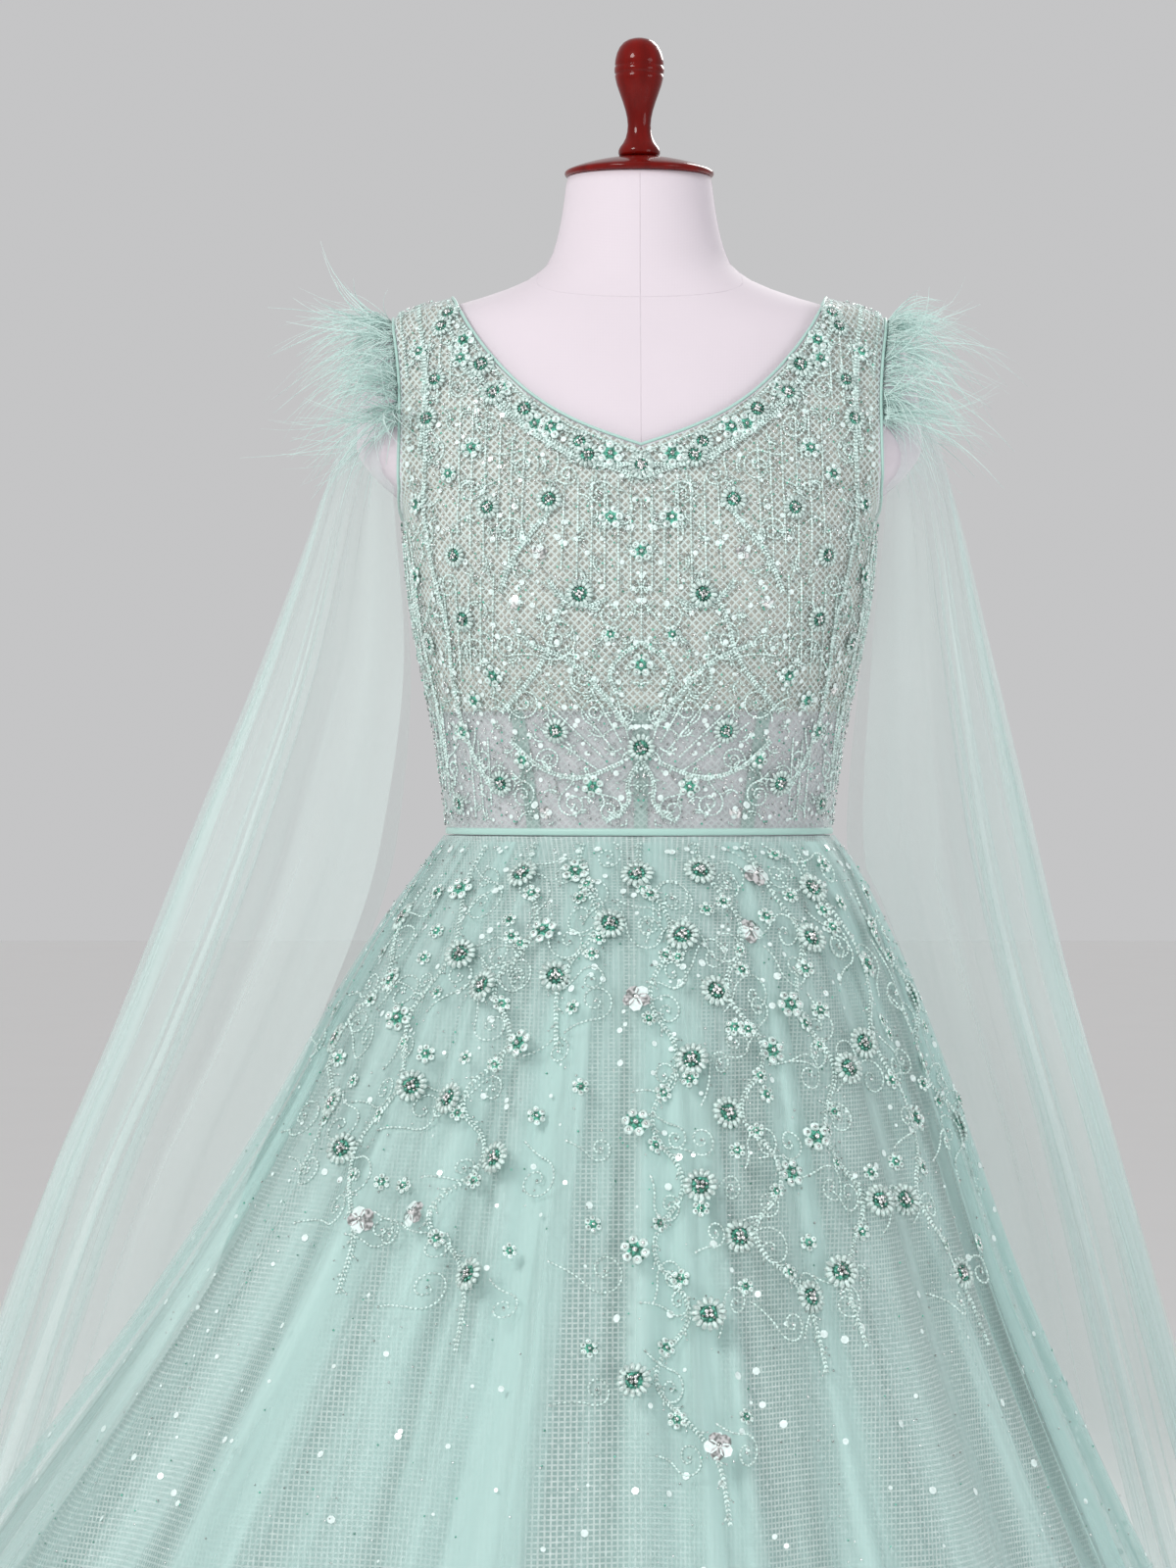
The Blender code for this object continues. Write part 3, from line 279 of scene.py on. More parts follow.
class DressSizes(bpy.types.PropertyGroup):
    seed: length("Seed bead", "Diameter of a seed bead", 0.0021)
    thread: length("Thread bead", "Thickness of a stitched bead row", 0.0014)
    step: length("Thread step", "Distance between the beads of a row", 0.0021)
    sequin: length("Sequin", "Diameter of a sequin", 0.0040)
    strand: length("Feather strand", "Thickness of a feather strand", 0.00042)
    tulle_density: bpy.props.FloatProperty(
        name="Tulle density", description="How much one layer of tulle hides", subtype="FACTOR",
        min=0.05, max=1.0, default=0.42,
    )
    seeds_a_square: bpy.props.IntProperty(
        name="Seed beads", description="Loose beads in a square of 10 by 10 cm on the bodice",
        min=0, max=2000, default=500,
    )


# Materials

def add_node(tree, kind, inputs=None, **settings):
    """Add a node, set its properties, and set or link its inputs by name or number."""
    made = tree.nodes.new(kind)
    for name, value in settings.items():
        setattr(made, name, value)
    for key, value in (inputs or {}).items():
        if isinstance(value, bpy.types.NodeSocket):
            tree.links.new(value, made.inputs[key])
        else:
            made.inputs[key].default_value = value
    return made


def finish(name, inputs):
    """A material with its Principled shader's sockets set; returns material, tree and shader."""
    made = bpy.data.materials.new(name)
    made.use_nodes = True
    shader = made.node_tree.nodes["Principled BSDF"]
    for key, value in inputs.items():
        shader.inputs[key].default_value = value
    return made, made.node_tree, shader


def shade(rgb, factor):
    """A colour made lighter or darker, with its alpha."""
    return tuple(min(1.0, c * factor) for c in rgb) + (1.0,)


def mesh_pattern(tree, coordinates, pitch, diagonal=False):
    """Threads of a square or diagonal net, 1 on a thread and 0 in a hole."""
    turned = add_node(tree, "ShaderNodeMapping", {
        "Vector": coordinates, "Rotation": (0.0, 0.0, math.pi / 4 if diagonal else 0.0),
    })
    bands = [
        add_node(tree, "ShaderNodeTexWave", {"Vector": turned.outputs[0], "Scale": math.pi / 10 / pitch},
                 wave_type="BANDS", bands_direction=way).outputs["Fac"]
        for way in "XY"
    ]
    return add_node(tree, "ShaderNodeMath", {0: bands[0], 1: bands[1]}, operation="MAXIMUM").outputs[0]


def sheer_finish(name, rgb, thin, dense, streak, band=(0.33, 0.68), pitch=0.0):
    """Sheer nylon tulle: soft sheen, and denser where many gathers lie together."""
    made, tree, shader = finish(name, {
        "Roughness": 0.62, "Sheen Weight": 0.35, "Sheen Roughness": 0.4, "Specular IOR Level": 0.25,
        "Sheen Tint": shade(rgb, 1.2),
    })
    uv = add_node(tree, "ShaderNodeTexCoord").outputs["UV"]
    long = add_node(tree, "ShaderNodeMapping", {"Vector": uv, "Scale": (1.0 / streak, 0.9, 1.0)})
    cloud = add_node(tree, "ShaderNodeTexNoise", {
        "Vector": long.outputs[0], "Scale": 1.0, "Detail": 4.0, "Roughness": 0.55,
    })
    alpha = add_node(tree, "ShaderNodeMapRange", {
        "Value": cloud.outputs["Fac"], "From Min": band[0], "From Max": band[1],
        "To Min": thin, "To Max": dense,
    }).outputs["Result"]
    if pitch:
        # drawn about twice as coarse as the real net, so that its threads show
        net = mesh_pattern(tree, uv, pitch, diagonal=True)
        threads = add_node(tree, "ShaderNodeMapRange", {
            "Value": net, "From Min": 0.66, "From Max": 0.92, "To Min": 0.30, "To Max": 2.4,
        }).outputs["Result"]
        # the threads stand out over the pale lining, and hardly over the form below its hem
        height = add_node(tree, "ShaderNodeSeparateXYZ", {"Vector": uv}).outputs["Y"]
        lined = add_node(tree, "ShaderNodeMapRange", {
            "Value": height, "From Min": LINING_HEM - 0.003, "From Max": LINING_HEM + 0.003, "To Min": 0.25,
        }).outputs["Result"]
        threads = add_node(tree, "ShaderNodeMix", {
            "Factor": lined, "A": 1.0, "B": threads,
        }).outputs["Result"]
        alpha = add_node(tree, "ShaderNodeMath", {0: alpha, 1: threads}, operation="MULTIPLY",
                         use_clamp=True).outputs[0]
    tree.links.new(alpha, shader.inputs["Alpha"])
    tint = add_node(tree, "ShaderNodeMix", {
        "Factor": cloud.outputs["Fac"], "A": shade(rgb, 0.86), "B": shade(rgb, 1.08),
    }, data_type="RGBA")
    tree.links.new(tint.outputs["Result"], shader.inputs["Base Color"])
    return made


def net_finish(rgb):
    """Stiff underskirt net over satin: light threads with greyer holes. The real pitch of about 2 mm is
    too fine to show, so it is drawn at 3.4 mm."""
    made, tree, shader = finish("underskirt_net", {
        "Roughness": 0.55, "Sheen Weight": 0.3, "Specular IOR Level": 0.3,
    })
    uv = add_node(tree, "ShaderNodeTexCoord").outputs["UV"]
    net = mesh_pattern(tree, uv, 0.0034)
    holes = add_node(tree, "ShaderNodeMapRange", {"Value": net, "From Min": 0.62, "From Max": 0.9})
    patchy = add_node(tree, "ShaderNodeTexNoise", {"Vector": uv, "Scale": 260.0, "Detail": 1.0})
    fade = add_node(tree, "ShaderNodeMath", {0: holes.outputs[0], 1: patchy.outputs["Fac"]},
                    operation="MULTIPLY")
    paint = add_node(tree, "ShaderNodeMix", {
        "Factor": fade.outputs[0], "A": shade(rgb, 0.52), "B": shade(rgb, 2.5),
    }, data_type="RGBA")
    tree.links.new(paint.outputs["Result"], shader.inputs["Base Color"])
    bump = add_node(tree, "ShaderNodeBump", {"Height": net, "Strength": 0.35, "Distance": 0.0004})
    tree.links.new(bump.outputs[0], shader.inputs["Normal"])
    return made


def clouded_finish(name, rgb, inputs, scale, detail, dark, light):
    """A finish whose colour drifts in clouds between a darker and a lighter shade."""
    made, tree, shader = finish(name, inputs)
    place = add_node(tree, "ShaderNodeTexCoord").outputs["Object"]
    cloud = add_node(tree, "ShaderNodeTexNoise", {"Vector": place, "Scale": scale, "Detail": detail})
    paint = add_node(tree, "ShaderNodeMix", {
        "Factor": cloud.outputs["Fac"], "A": shade(rgb, dark), "B": shade(rgb, light),
    }, data_type="RGBA")
    tree.links.new(paint.outputs["Result"], shader.inputs["Base Color"])
    return made, tree, shader, place


def woven_finish(name, rgb, pitch, roughness, sheen, change=0.06, depth=0.0001):
    """Plain woven cloth: fine crossed threads as bump, slightly uneven dye."""
    made, tree, shader, place = clouded_finish(
        name, rgb, {"Roughness": roughness, "Sheen Weight": sheen, "Specular IOR Level": 0.3},
        18.0, 4.0, 1.0 - change, 1.0 + change,
    )
    threads = [
        add_node(tree, "ShaderNodeTexWave", {"Vector": place, "Scale": math.pi / 10 / pitch},
                 wave_type="BANDS", bands_direction=way).outputs["Fac"]
        for way in "XZ"
    ]
    weave = add_node(tree, "ShaderNodeMath", {0: threads[0], 1: threads[1]}, operation="ADD")
    bump = add_node(tree, "ShaderNodeBump", {"Height": weave.outputs[0], "Strength": 0.3, "Distance": depth})
    tree.links.new(bump.outputs[0], shader.inputs["Normal"])
    return made


def bead_finish(name, rgb, roughness, metallic=0.0, change=0.25, coat=0.0):
    """Glass, metal or film beads: each one a little lighter or darker than the next."""
    made, tree, shader = finish(name, {
        "Roughness": roughness, "Metallic": metallic, "Coat Weight": coat, "Coat Roughness": 0.08,
    })
    place = add_node(tree, "ShaderNodeTexCoord").outputs["Object"]
    cell = add_node(tree, "ShaderNodeTexNoise", {"Vector": place, "Scale": 420.0, "Detail": 0.0})
    spread = add_node(tree, "ShaderNodeMapRange", {
        "Value": cell.outputs["Fac"], "From Min": 0.36, "From Max": 0.64,
    })
    paint = add_node(tree, "ShaderNodeMix", {
        "Factor": spread.outputs["Result"], "A": shade(rgb, 1.0 - change), "B": shade(rgb, 1.0 + change),
    }, data_type="RGBA")
    tree.links.new(paint.outputs["Result"], shader.inputs["Base Color"])
    return made


def lacquer_finish(rgb):
    """Turned hardwood under clear gloss lacquer: dark red with faint lengthways grain."""
    made, tree, shader = finish("lacquered_hardwood", {
        "Roughness": 0.30, "Coat Weight": 0.7, "Coat Roughness": 0.02, "Coat IOR": 1.30,
        "Specular IOR Level": 0.04,
    })
    place = add_node(tree, "ShaderNodeTexCoord").outputs["Object"]
    grain = add_node(tree, "ShaderNodeMapping", {"Vector": place, "Scale": (90.0, 90.0, 12.0)})
    rings = add_node(tree, "ShaderNodeTexNoise", {"Vector": grain.outputs[0], "Scale": 1.4, "Detail": 4.0})
    paint = add_node(tree, "ShaderNodeMix", {
        "Factor": rings.outputs["Fac"], "A": shade(rgb, 0.35), "B": shade(rgb, 1.5),
    }, data_type="RGBA")
    tree.links.new(paint.outputs["Result"], shader.inputs["Base Color"])
    return made


def feather_finish(name, rgb):
    """Dyed ostrich barbs: matt, soft, lighter towards white here and there."""
    return clouded_finish(name, rgb, {
        "Roughness": 0.7, "Sheen Weight": 0.5, "Sheen Roughness": 0.5, "Specular IOR Level": 0.2,
    }, 90.0, 2.0, 0.86, 1.06)[0]


def studio_finish(name, rgb):
    """Matt painted studio floor with a faint mottle."""
    return clouded_finish(name, rgb, {"Roughness": 0.9, "Specular IOR Level": 0.2}, 3.0, 5.0, 0.98, 1.01)[0]


def material(name):
    """A material of the dress, made on first use from the user's colours."""
    found = bpy.data.materials.get(name)
    if found:
        return found
    colours = bpy.context.scene.dress_colours
    density = bpy.context.scene.dress_sizes.tulle_density

    def dye(part, factor=1.0):
        return tuple(factor * c for c in getattr(colours, part))

    tulle = dye("tulle")
    pale = tuple(mix(c, 0.9, 0.4) for c in tulle)
    greyed = tuple(mix(c, 0.76, 0.45) for c in tulle)
    makers = {
        # nylon tulle: a haze that thickens in streaks where gathers lie together, faintest on the wings
        "skirt_outer_tulle": lambda: sheer_finish(
            name, tulle, density * 0.34, density * 1.10, 0.110, (0.38, 0.64),
        ),
        "skirt_second_tulle": lambda: sheer_finish(
            name, tulle, density * 0.06, density * 1.75, 0.190, (0.46, 0.60),
        ),
        "wing_tulle": lambda: sheer_finish(name, pale, density * 0.38, density * 0.80, 0.070),
        "bodice_net_tulle": lambda: sheer_finish(name, greyed, 0.32, 0.38, 0.050, pitch=0.0036),
        "underskirt_net": lambda: net_finish(dye("net")),
        # woven cloth: matt crepe and ribbon, brighter satin, and the form's tight dull cotton
        "bust_crepe": lambda: woven_finish(name, dye("lining"), 0.0012, 0.75, 0.2),
        "casing_ribbon": lambda: woven_finish(name, dye("satin", 0.72), 0.0008, 0.6, 0.3),
        "mint_satin": lambda: woven_finish(name, dye("satin"), 0.0008, 0.38, 0.4),
        "form_cotton": lambda: woven_finish(name, dye("cover"), 0.0010, 0.85, 0.35, 0.025, 0.00005),
        # the seam cords are the cover's cotton made 6 per cent darker: painted shade of the seam's groove
        "form_seam": lambda: woven_finish(name, dye("cover", 0.94), 0.0010, 0.9, 0.2),
        # beads: satiny thread, glossy glass, mirror-like silver lining and flat film sequins that flash
        "stitched_thread": lambda: bead_finish(name, dye("thread"), 0.35, 0.0, 0.24, 0.3),
        "bugle_glass": lambda: bead_finish(name, dye("thread", 0.84), 0.16, 0.0, 0.25, 0.6),
        "green_glass": lambda: bead_finish(name, dye("glass"), 0.14, 0.0, 0.5, 0.6),
        "silver_bead": lambda: bead_finish(name, dye("silver"), 0.16, 0.85, 0.55),
        "white_sequin": lambda: bead_finish(name, dye("sequin"), 0.22, 0.0, 0.08, 0.5),
        "lacquered_hardwood": lambda: lacquer_finish(dye("lacquer")),
        "dyed_ostrich_feather": lambda: feather_finish(name, dye("feather")),
        "matt_studio_floor": lambda: studio_finish(name, dye("floor")),
    }
    return makers[name]()


# Surfaces, all for arrays of places

def column(rows, field):
    """A function of height that runs smoothly, without overshoot, through one column."""
    z = np.array([row.height for row in rows])
    v = np.array([getattr(row, field) for row in rows])
    steps = np.diff(z)
    slopes = np.diff(v) / steps
    both = slopes[:-1] * slopes[1:]
    total = np.where(both > 0.0, slopes[:-1] + slopes[1:], 1.0)
    tangents = np.concatenate([slopes[:1], np.where(both > 0.0, 2.0 * both / total, 0.0), slopes[-1:]])

    def value(height):
        height = np.clip(height, z[0], z[-1])
        i = np.clip(np.searchsorted(z, height) - 1, 0, len(steps) - 1)
        u = (height - z[i]) / steps[i]
        rise = 3 * u ** 2 - 2 * u ** 3
        start = (u ** 3 - 2 * u ** 2 + u) * steps[i] * tangents[i]
        end = (u ** 3 - u ** 2) * steps[i] * tangents[i + 1]
        return v[i] * (1 - rise) + v[i + 1] * rise + start + end

    return value


form = {name: column(FORM, name) for name in FormSection._fields[1:]}
skirt = {name: column(SKIRT, name) for name in SkirtSection._fields[1:]}


def mix(a, b, share):
    return a + (b - a) * share


def stacked(x, y, z):
    x, y, z = np.broadcast_arrays(x, y, z)
    return np.stack([x, y, z], axis=-1).astype(float)


def form_point(angle, height):
    """Points of the dress form's surface."""
    power = 2.0 / form["square"](height)
    c, s = np.cos(angle), np.sin(angle)
    deep = np.where(s > 0.0, form["back"](height), form["front"](height))
    x = form["half_width"](height) * np.sign(c) * np.abs(c) ** power
    return stacked(x, deep * np.sign(s) * np.abs(s) ** power, height)


def fold_phase(angle, folds):
    return folds * angle + SPACING_TWICE * np.sin(2.0 * angle) + SPACING_FOUR_TIMES * np.sin(4.0 * angle)


def skirt_ring(angle, height, inward):
    wide = np.where(np.cos(angle) > 0.0, skirt["right"](height), skirt["left"](height))
    deep = np.where(np.sin(angle) > 0.0, skirt["back"](height), skirt["front"](height))
    return stacked((wide - inward) * np.cos(angle), (deep - inward) * np.sin(angle), height)


def gathers(angle, height):
    """Fine gathers below the waist seam, which run together further down."""
    drop = np.clip((SKIRT_TOP - height) / 0.32, 0.0, 1.0)
    uneven = 0.6 + 0.4 * np.sin(17.0 * angle + 1.0) * np.sin(5.0 * angle + 2.0)
    fine = np.cos(fold_phase(angle, 3 * FOLDS) + 1.4 * np.sin(9.0 * angle + 3.0 * drop))
    return (0.0005 + 0.0022 * drop) * uneven * (1.0 - fine) * (1.0 - 0.35 * drop)


def outer_folds(angle, height):
    """How far in the outer tulle's largest folds lie: as on the solid, shallower."""
    depth = skirt["fold"](height) * (0.8 + 0.2 * np.sin(3.0 * angle + 0.5))
    wave = 1.0 - np.cos(fold_phase(angle, FOLDS) + 0.5 * np.sin(2.5 * height * math.pi + 7.0 * angle))
    return 0.55 * depth * wave


def skirt_point(angle, height):
    """The outer tulle, with its large folds and fine gathers."""
    return skirt_ring(angle, height, outer_folds(angle, height) + 0.5 * gathers(angle, height))


def second_point(angle, height):
    """The second tulle layer, behind the outer one, with folds of its own."""
    depth = skirt["fold"](height)
    wave = 1.0 - np.cos(fold_phase(angle, SECOND_FOLDS) + 0.9 * np.sin(3.0 * height * math.pi + 5.0 * angle))
    return skirt_ring(angle, height, 1.20 * depth + 0.36 * depth * wave + 0.0004)


def net_point(angle, height):
    """The underskirt net, inside the deepest folds."""
    clear = 2.0 * skirt["fold"](height) + 0.0014 + 0.0003
    clear = clear + skirt["net_fold"](height) * (1.2 - np.cos(fold_phase(angle, NET_FOLDS)))
    return skirt_ring(angle, height, clear)


def unit(v):
    return v / np.maximum(np.linalg.norm(v, axis=-1, keepdims=True), 1e-12)


def lifted(surface, across, height, off):
    """Points moved out from a surface, with the outward normals and the directions along it."""
    along = surface(across + 0.002, height) - surface(across - 0.002, height)
    upward = surface(across, height + 0.0006) - surface(across, height - 0.0006)
    normal = unit(np.cross(along, upward))
    off = np.asarray(off, float)
    return surface(across, height) + normal * off[..., None], normal, unit(along)


def side_angle(x, height):
    """The angle off the side at which the form is this far from the centre plane."""
    share = np.minimum(1.0, np.abs(x) / form["half_width"](height)) ** (0.5 * form["square"](height))
    return np.arccos(np.minimum(share, 1.0))


def armhole_x(height):
    """How far the armhole's edge is from the centre plane, wider at the shoulder."""
    over = np.maximum(0.0, (height - ARMHOLE_SPREAD_FROM) / ARMHOLE_SPREAD_OVER)
    return ARMHOLE_X + ARMHOLE_SPREAD * over ** 2


def crossing(test, low, high):
    """The value between low and high up to which a test holds."""
    for _ in range(40):
        middle = 0.5 * (low + high)
        if test(middle):
            low = middle
        else:
            high = middle
    return low


def ridge_height(outset):
    return crossing(lambda z: form["half_width"](z) > armhole_x(z) + outset, 1.39, 1.45)


def armhole_place(share, outset, lowest=ARMHOLE_LOW):
    """A place beside the right armhole; share is 0 at its front foot, 0.5 on the shoulder, 1 behind."""
    top = ridge_height(outset)
    height = lowest + (top - lowest) * np.sin(np.pi * share) ** 2
    angle = side_angle(armhole_x(height) + outset, height)
    return np.where(share > 0.5, angle, -angle), height


def front_neck_height(x):
    return NECK_POINT + NECK_SLOPE * x + NECK_RISE * x ** NECK_POWER


NECK_TOP_X = crossing(lambda x: form["half_width"](front_neck_height(x)) > x, 0.10, 0.15)
NECK_TOP_HEIGHT = front_neck_height(NECK_TOP_X)


def neck_height(x, back):
    """The neckline's height at a distance from the centre."""
    if back:
        return mix(BACK_NECK, NECK_TOP_HEIGHT, np.minimum(1.0, x / NECK_TOP_X) ** BACK_NECK_POWER)
    return front_neck_height(x)


# Building pieces

def finished(name, bm, finishes, replaces=(), rides=True):
    """Turn a bmesh into a smooth object at the origin, which rides on the frame."""
    mesh = bpy.data.meshes.new(name)
    bm.to_mesh(mesh)
    bm.free()
    return placed(name, mesh, finishes, replaces, rides)


def placed(name, mesh, finishes, replaces=(), rides=True):
    mesh.shade_smooth()
    for finish_name in finishes:
        mesh.materials.append(material(finish_name))
    thing = bpy.data.objects.new(name, mesh)
    bpy.context.scene.collection.objects.link(thing)
    if rides:
        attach(thing, "root")
        if replaces:
            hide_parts(*replaces)
    return thing


def face_out(bm):
    """Turn an open sheet's faces away from the body's axis."""
    bm.normal_update()
    total = sum(
        face.normal.dot(face.calc_center_median() * Vector((1.0, 1.0, 0.0))) * face.calc_area()
        for face in bm.faces
    )
    if total < 0.0:
        bmesh.ops.reverse_faces(bm, faces=bm.faces)


def add_sheet(bm, columns, rows, place, size, mirror=False):
    """A grid laid on a surface: place takes shares across and up, size is its flat size for the weave."""
    uv = bm.loops.layers.uv.verify()
    verts = bmesh.ops.create_grid(bm, x_segments=columns, y_segments=rows, size=0.5)["verts"]
    shares = np.array([vert.co for vert in verts]) + 0.5
    points = place(shares[:, 0], shares[:, 1])
    if mirror:
        points = points * (-1.0, 1.0, 1.0)
    flat = np.stack(size(shares[:, 0], shares[:, 1]), axis=1) if callable(size) else shares[:, :2] * size
    flat_of = dict(zip(verts, flat))
    for vert, point in zip(verts, points):
        vert.co = point
    faces = list({face for vert in verts for face in vert.link_faces})
    for face in faces:
        for loop in face.loops:
            loop[uv].uv = flat_of[loop.vert]
    if mirror:
        bmesh.ops.reverse_faces(bm, faces=faces)


def cloth(name, columns, rows, place, size, finish_name, replaces=(), sides=(False,), join=0.0):
    """A piece of cloth: its sheet laid once for each of sides, mirrored where True, with edges joined."""
    bm = bmesh.new()
    for mirror in sides:
        add_sheet(bm, columns, rows, place, size, mirror)
    if join:
        bmesh.ops.remove_doubles(bm, verts=bm.verts, dist=join)
    face_out(bm)
    return finished(name, bm, [finish_name], replaces)


def template(build):
    """Vertices, faces and material numbers of a small shape, from the bmesh calls in build."""
    bm = bmesh.new()
    build(bm)
    bm.verts.index_update()
    verts = np.array([vert.co for vert in bm.verts])
    faces = [[vert.index for vert in face.verts] for face in bm.faces]
    kinds = [face.material_index for face in bm.faces]
    bm.free()
    return verts, faces, kinds


def strewn(name, parts, finishes):
    """One piece of many small shapes; parts are (template, points, normals, directions, scales)."""
    verts, faces, kinds = [], [], []
    count = 0
    for (shape, shape_faces, shape_kinds), points, normals, along, scales in parts:
        if not len(points):
            continue
        z = unit(normals)
        x = unit(along - z * (along * z).sum(axis=-1, keepdims=True))
        basis = np.stack([x, np.cross(z, x), z], axis=1)
        scales = np.broadcast_to(np.asarray(scales, float), (len(points),))
        local = shape[None] * scales[:, None, None]
        verts.append((np.einsum("nvi,nij->nvj", local, basis) + points[:, None]).reshape(-1, 3))
        for number in range(len(points)):
            start = count + number * len(shape)
            faces.extend([start + i for i in face] for face in shape_faces)
        kinds.extend(shape_kinds * len(points))
        count += len(points) * len(shape)
    mesh = bpy.data.meshes.new(name)
    mesh.from_pydata(np.concatenate(verts), [], faces)
    mesh.polygons.foreach_set("material_index", kinds)
    return placed(name, mesh, finishes)


def lathe(name, outline, steps, finish_name, replaces):
    """A turned piece: its outline spun round the vertical axis."""
    bm = bmesh.new()
    verts = [bm.verts.new((radius, 0.0, height)) for radius, height in outline]
    edges = [bm.edges.new(pair) for pair in zip(verts, verts[1:])]
    bmesh.ops.spin(bm, geom=verts + edges, cent=(0, 0, 0), axis=(0, 0, 1), angle=math.tau, steps=steps,
                   use_merge=True)
    bmesh.ops.remove_doubles(bm, verts=bm.verts, dist=0.00001)
    bmesh.ops.recalc_face_normals(bm, faces=bm.faces)
    return finished(name, bm, [finish_name], replaces)


def tube(name, paths, radius, finish_name, sides=6, replaces=()):
    """Thin round cords along paths of points, joined in one piece."""
    bm = bmesh.new()
    for path, normals in paths:
        tangents = unit(np.gradient(path, axis=0))
        side = unit(np.cross(normals, tangents))
        rings = []
        for point, a, b in zip(path, unit(normals), side):
            ring = [
                bm.verts.new(point + radius * (math.cos(turn) * a + math.sin(turn) * b))
                for turn in np.arange(sides) * math.tau / sides
            ]
            rings.append([bm.edges.new((ring[i - 1], ring[i])) for i in range(sides)])
        for low, high in zip(rings, rings[1:]):
            bmesh.ops.bridge_loops(bm, edges=low + high)
        for ring in (rings[0], rings[-1]):
            bmesh.ops.edgeloop_fill(bm, edges=ring)
    bmesh.ops.recalc_face_normals(bm, faces=bm.faces)
    return finished(name, bm, [finish_name], replaces)


# Camera, light and floor

LENS = 107.5
CAMERA, AIM = (-0.035, -3.2, 1.11), (0.0, 0.0, 1.05)
LIGHTS = (
    # name, place, width, watts, tint
    ("key", (-1.9, -2.6, 3.1), 1.2, 78.0, (1.0, 0.98, 0.96)),
    ("fill", (2.9, -2.2, 1.5), 1.6, 22.0, (0.96, 0.98, 1.0)),
    ("back", (1.4, 2.8, 3.0), 1.8, 62.0, (1.0, 0.98, 0.96)),
)


class DRESS_OT_stage(bpy.types.Operator):
    """Place the camera, the soft studio lights and the pale floor"""
    bl_idname = "dress.stage"
    bl_label = "Stage"

    def execute(self, context):
        scene = context.scene
        scene.view_settings.view_transform = "Standard"
        camera = bpy.data.cameras.new("camera")
        camera.lens, camera.sensor_width, camera.sensor_fit = LENS, 36.0, "AUTO"
        camera.clip_end = 60.0
        camera.dof.use_dof = False
        scene.camera = bpy.data.objects.new("camera", camera)
        scene.camera.location = CAMERA
        scene.camera.rotation_euler = (math.pi / 2, 0.0, 0.0)
        scene.collection.objects.link(scene.camera)

        world = bpy.data.worlds.new("studio")
        world.use_nodes = True
        sky = world.node_tree.nodes["Background"]
        sky.inputs["Color"].default_value = (0.87, 0.87, 0.88, 1.0)
        sky.inputs["Strength"].default_value = 0.64
        scene.world = world

        for name, place, wide, power, tint in LIGHTS:
            light = bpy.data.lights.new(name, "AREA")
            light.shape, light.size, light.energy, light.color = "DISK", wide, power, tint
            lamp = bpy.data.objects.new(name, light)
            aim = Vector(AIM) - Vector(place)
            lamp.matrix_world = Matrix.Translation(place) @ aim.to_track_quat("-Z", "Y").to_matrix().to_4x4()
            scene.collection.objects.link(lamp)

        bm = bmesh.new()
        bmesh.ops.create_grid(bm, x_segments=1, y_segments=1, size=30.0)
        bmesh.ops.translate(bm, verts=bm.verts, vec=(0.0, 0.0, -0.001))
        finished("studio_floor", bm, ["matt_studio_floor"], rides=False)
        return {"FINISHED"}


# Dress form and stand

COVER_OFF, SEAM_RADIUS = -0.0001, 0.00035
SEAM_ANGLES, SEAM_LOW, SEAM_HIGH = (-90.0, 90.0, 0.0, 180.0), 0.862, 1.522
COLLAR, COLLAR_DIP = 1.4617, 0.025


class DRESS_OT_form(bpy.types.Operator):
    """Cover the dress form in cotton with its seams, and turn its cap and finial"""
    bl_idname = "dress.form"
    bl_label = "Dress form and stand"

    def execute(self, context):
        low, high = FORM[0].height, FORM[-1].height

        def cover(u, w):
            return form_point(u * math.tau, mix(low, high, w))

        bm = bmesh.new()
        add_sheet(bm, 104, 112, cover, (1.0, 0.66))
        bmesh.ops.remove_doubles(bm, verts=bm.verts, dist=0.00002)
        face_out(bm)
        bmesh.ops.holes_fill(bm, edges=[edge for edge in bm.edges if edge.is_boundary], sides=0)
        finished("cotton_cover", bm, ["form_cotton"], ["form_torso"])

        paths = []
        height = np.linspace(SEAM_LOW, SEAM_HIGH, 80)
        for angle in SEAM_ANGLES:
            angles = np.radians(np.full(80, angle))
            paths.append(lifted(form_point, angles, height, np.full(80, COVER_OFF))[:2])
        turn = np.linspace(0.0, math.tau, 121)
        collar = COLLAR - COLLAR_DIP * np.clip(-np.sin(turn), 0.0, 1.0) ** 1.3
        paths.append(lifted(form_point, turn, collar, np.full(121, COVER_OFF))[:2])
        # the seam cords carry painted shade, a darker copy of the cover's cotton along each seam
        tube("cover_seams", paths, SEAM_RADIUS, "form_seam", sides=5)

        lathe("turned_cap", CAP_OUTLINE, 96, "lacquered_hardwood", ["neck_cap"])
        lathe("turned_finial", FINIAL_OUTLINE, 64, "lacquered_hardwood", ["finial"])
        for name in ("stand_foot", "stand_pole"):
            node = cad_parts[name]
            for place in node.material_slots:
                place.material = material("lacquered_hardwood")
        return {"FINISHED"}


# Bodice

MIDRIFF_TOP, BUST_TOP, FIRST_STRAP = 0.22, 0.62, 1.0 / 9.0


def neck_place(share, back):
    x = NECK_TOP_X * (1.0 - (1.0 - share) ** 2)
    height = neck_height(x, back)
    return side_angle(x, height), height


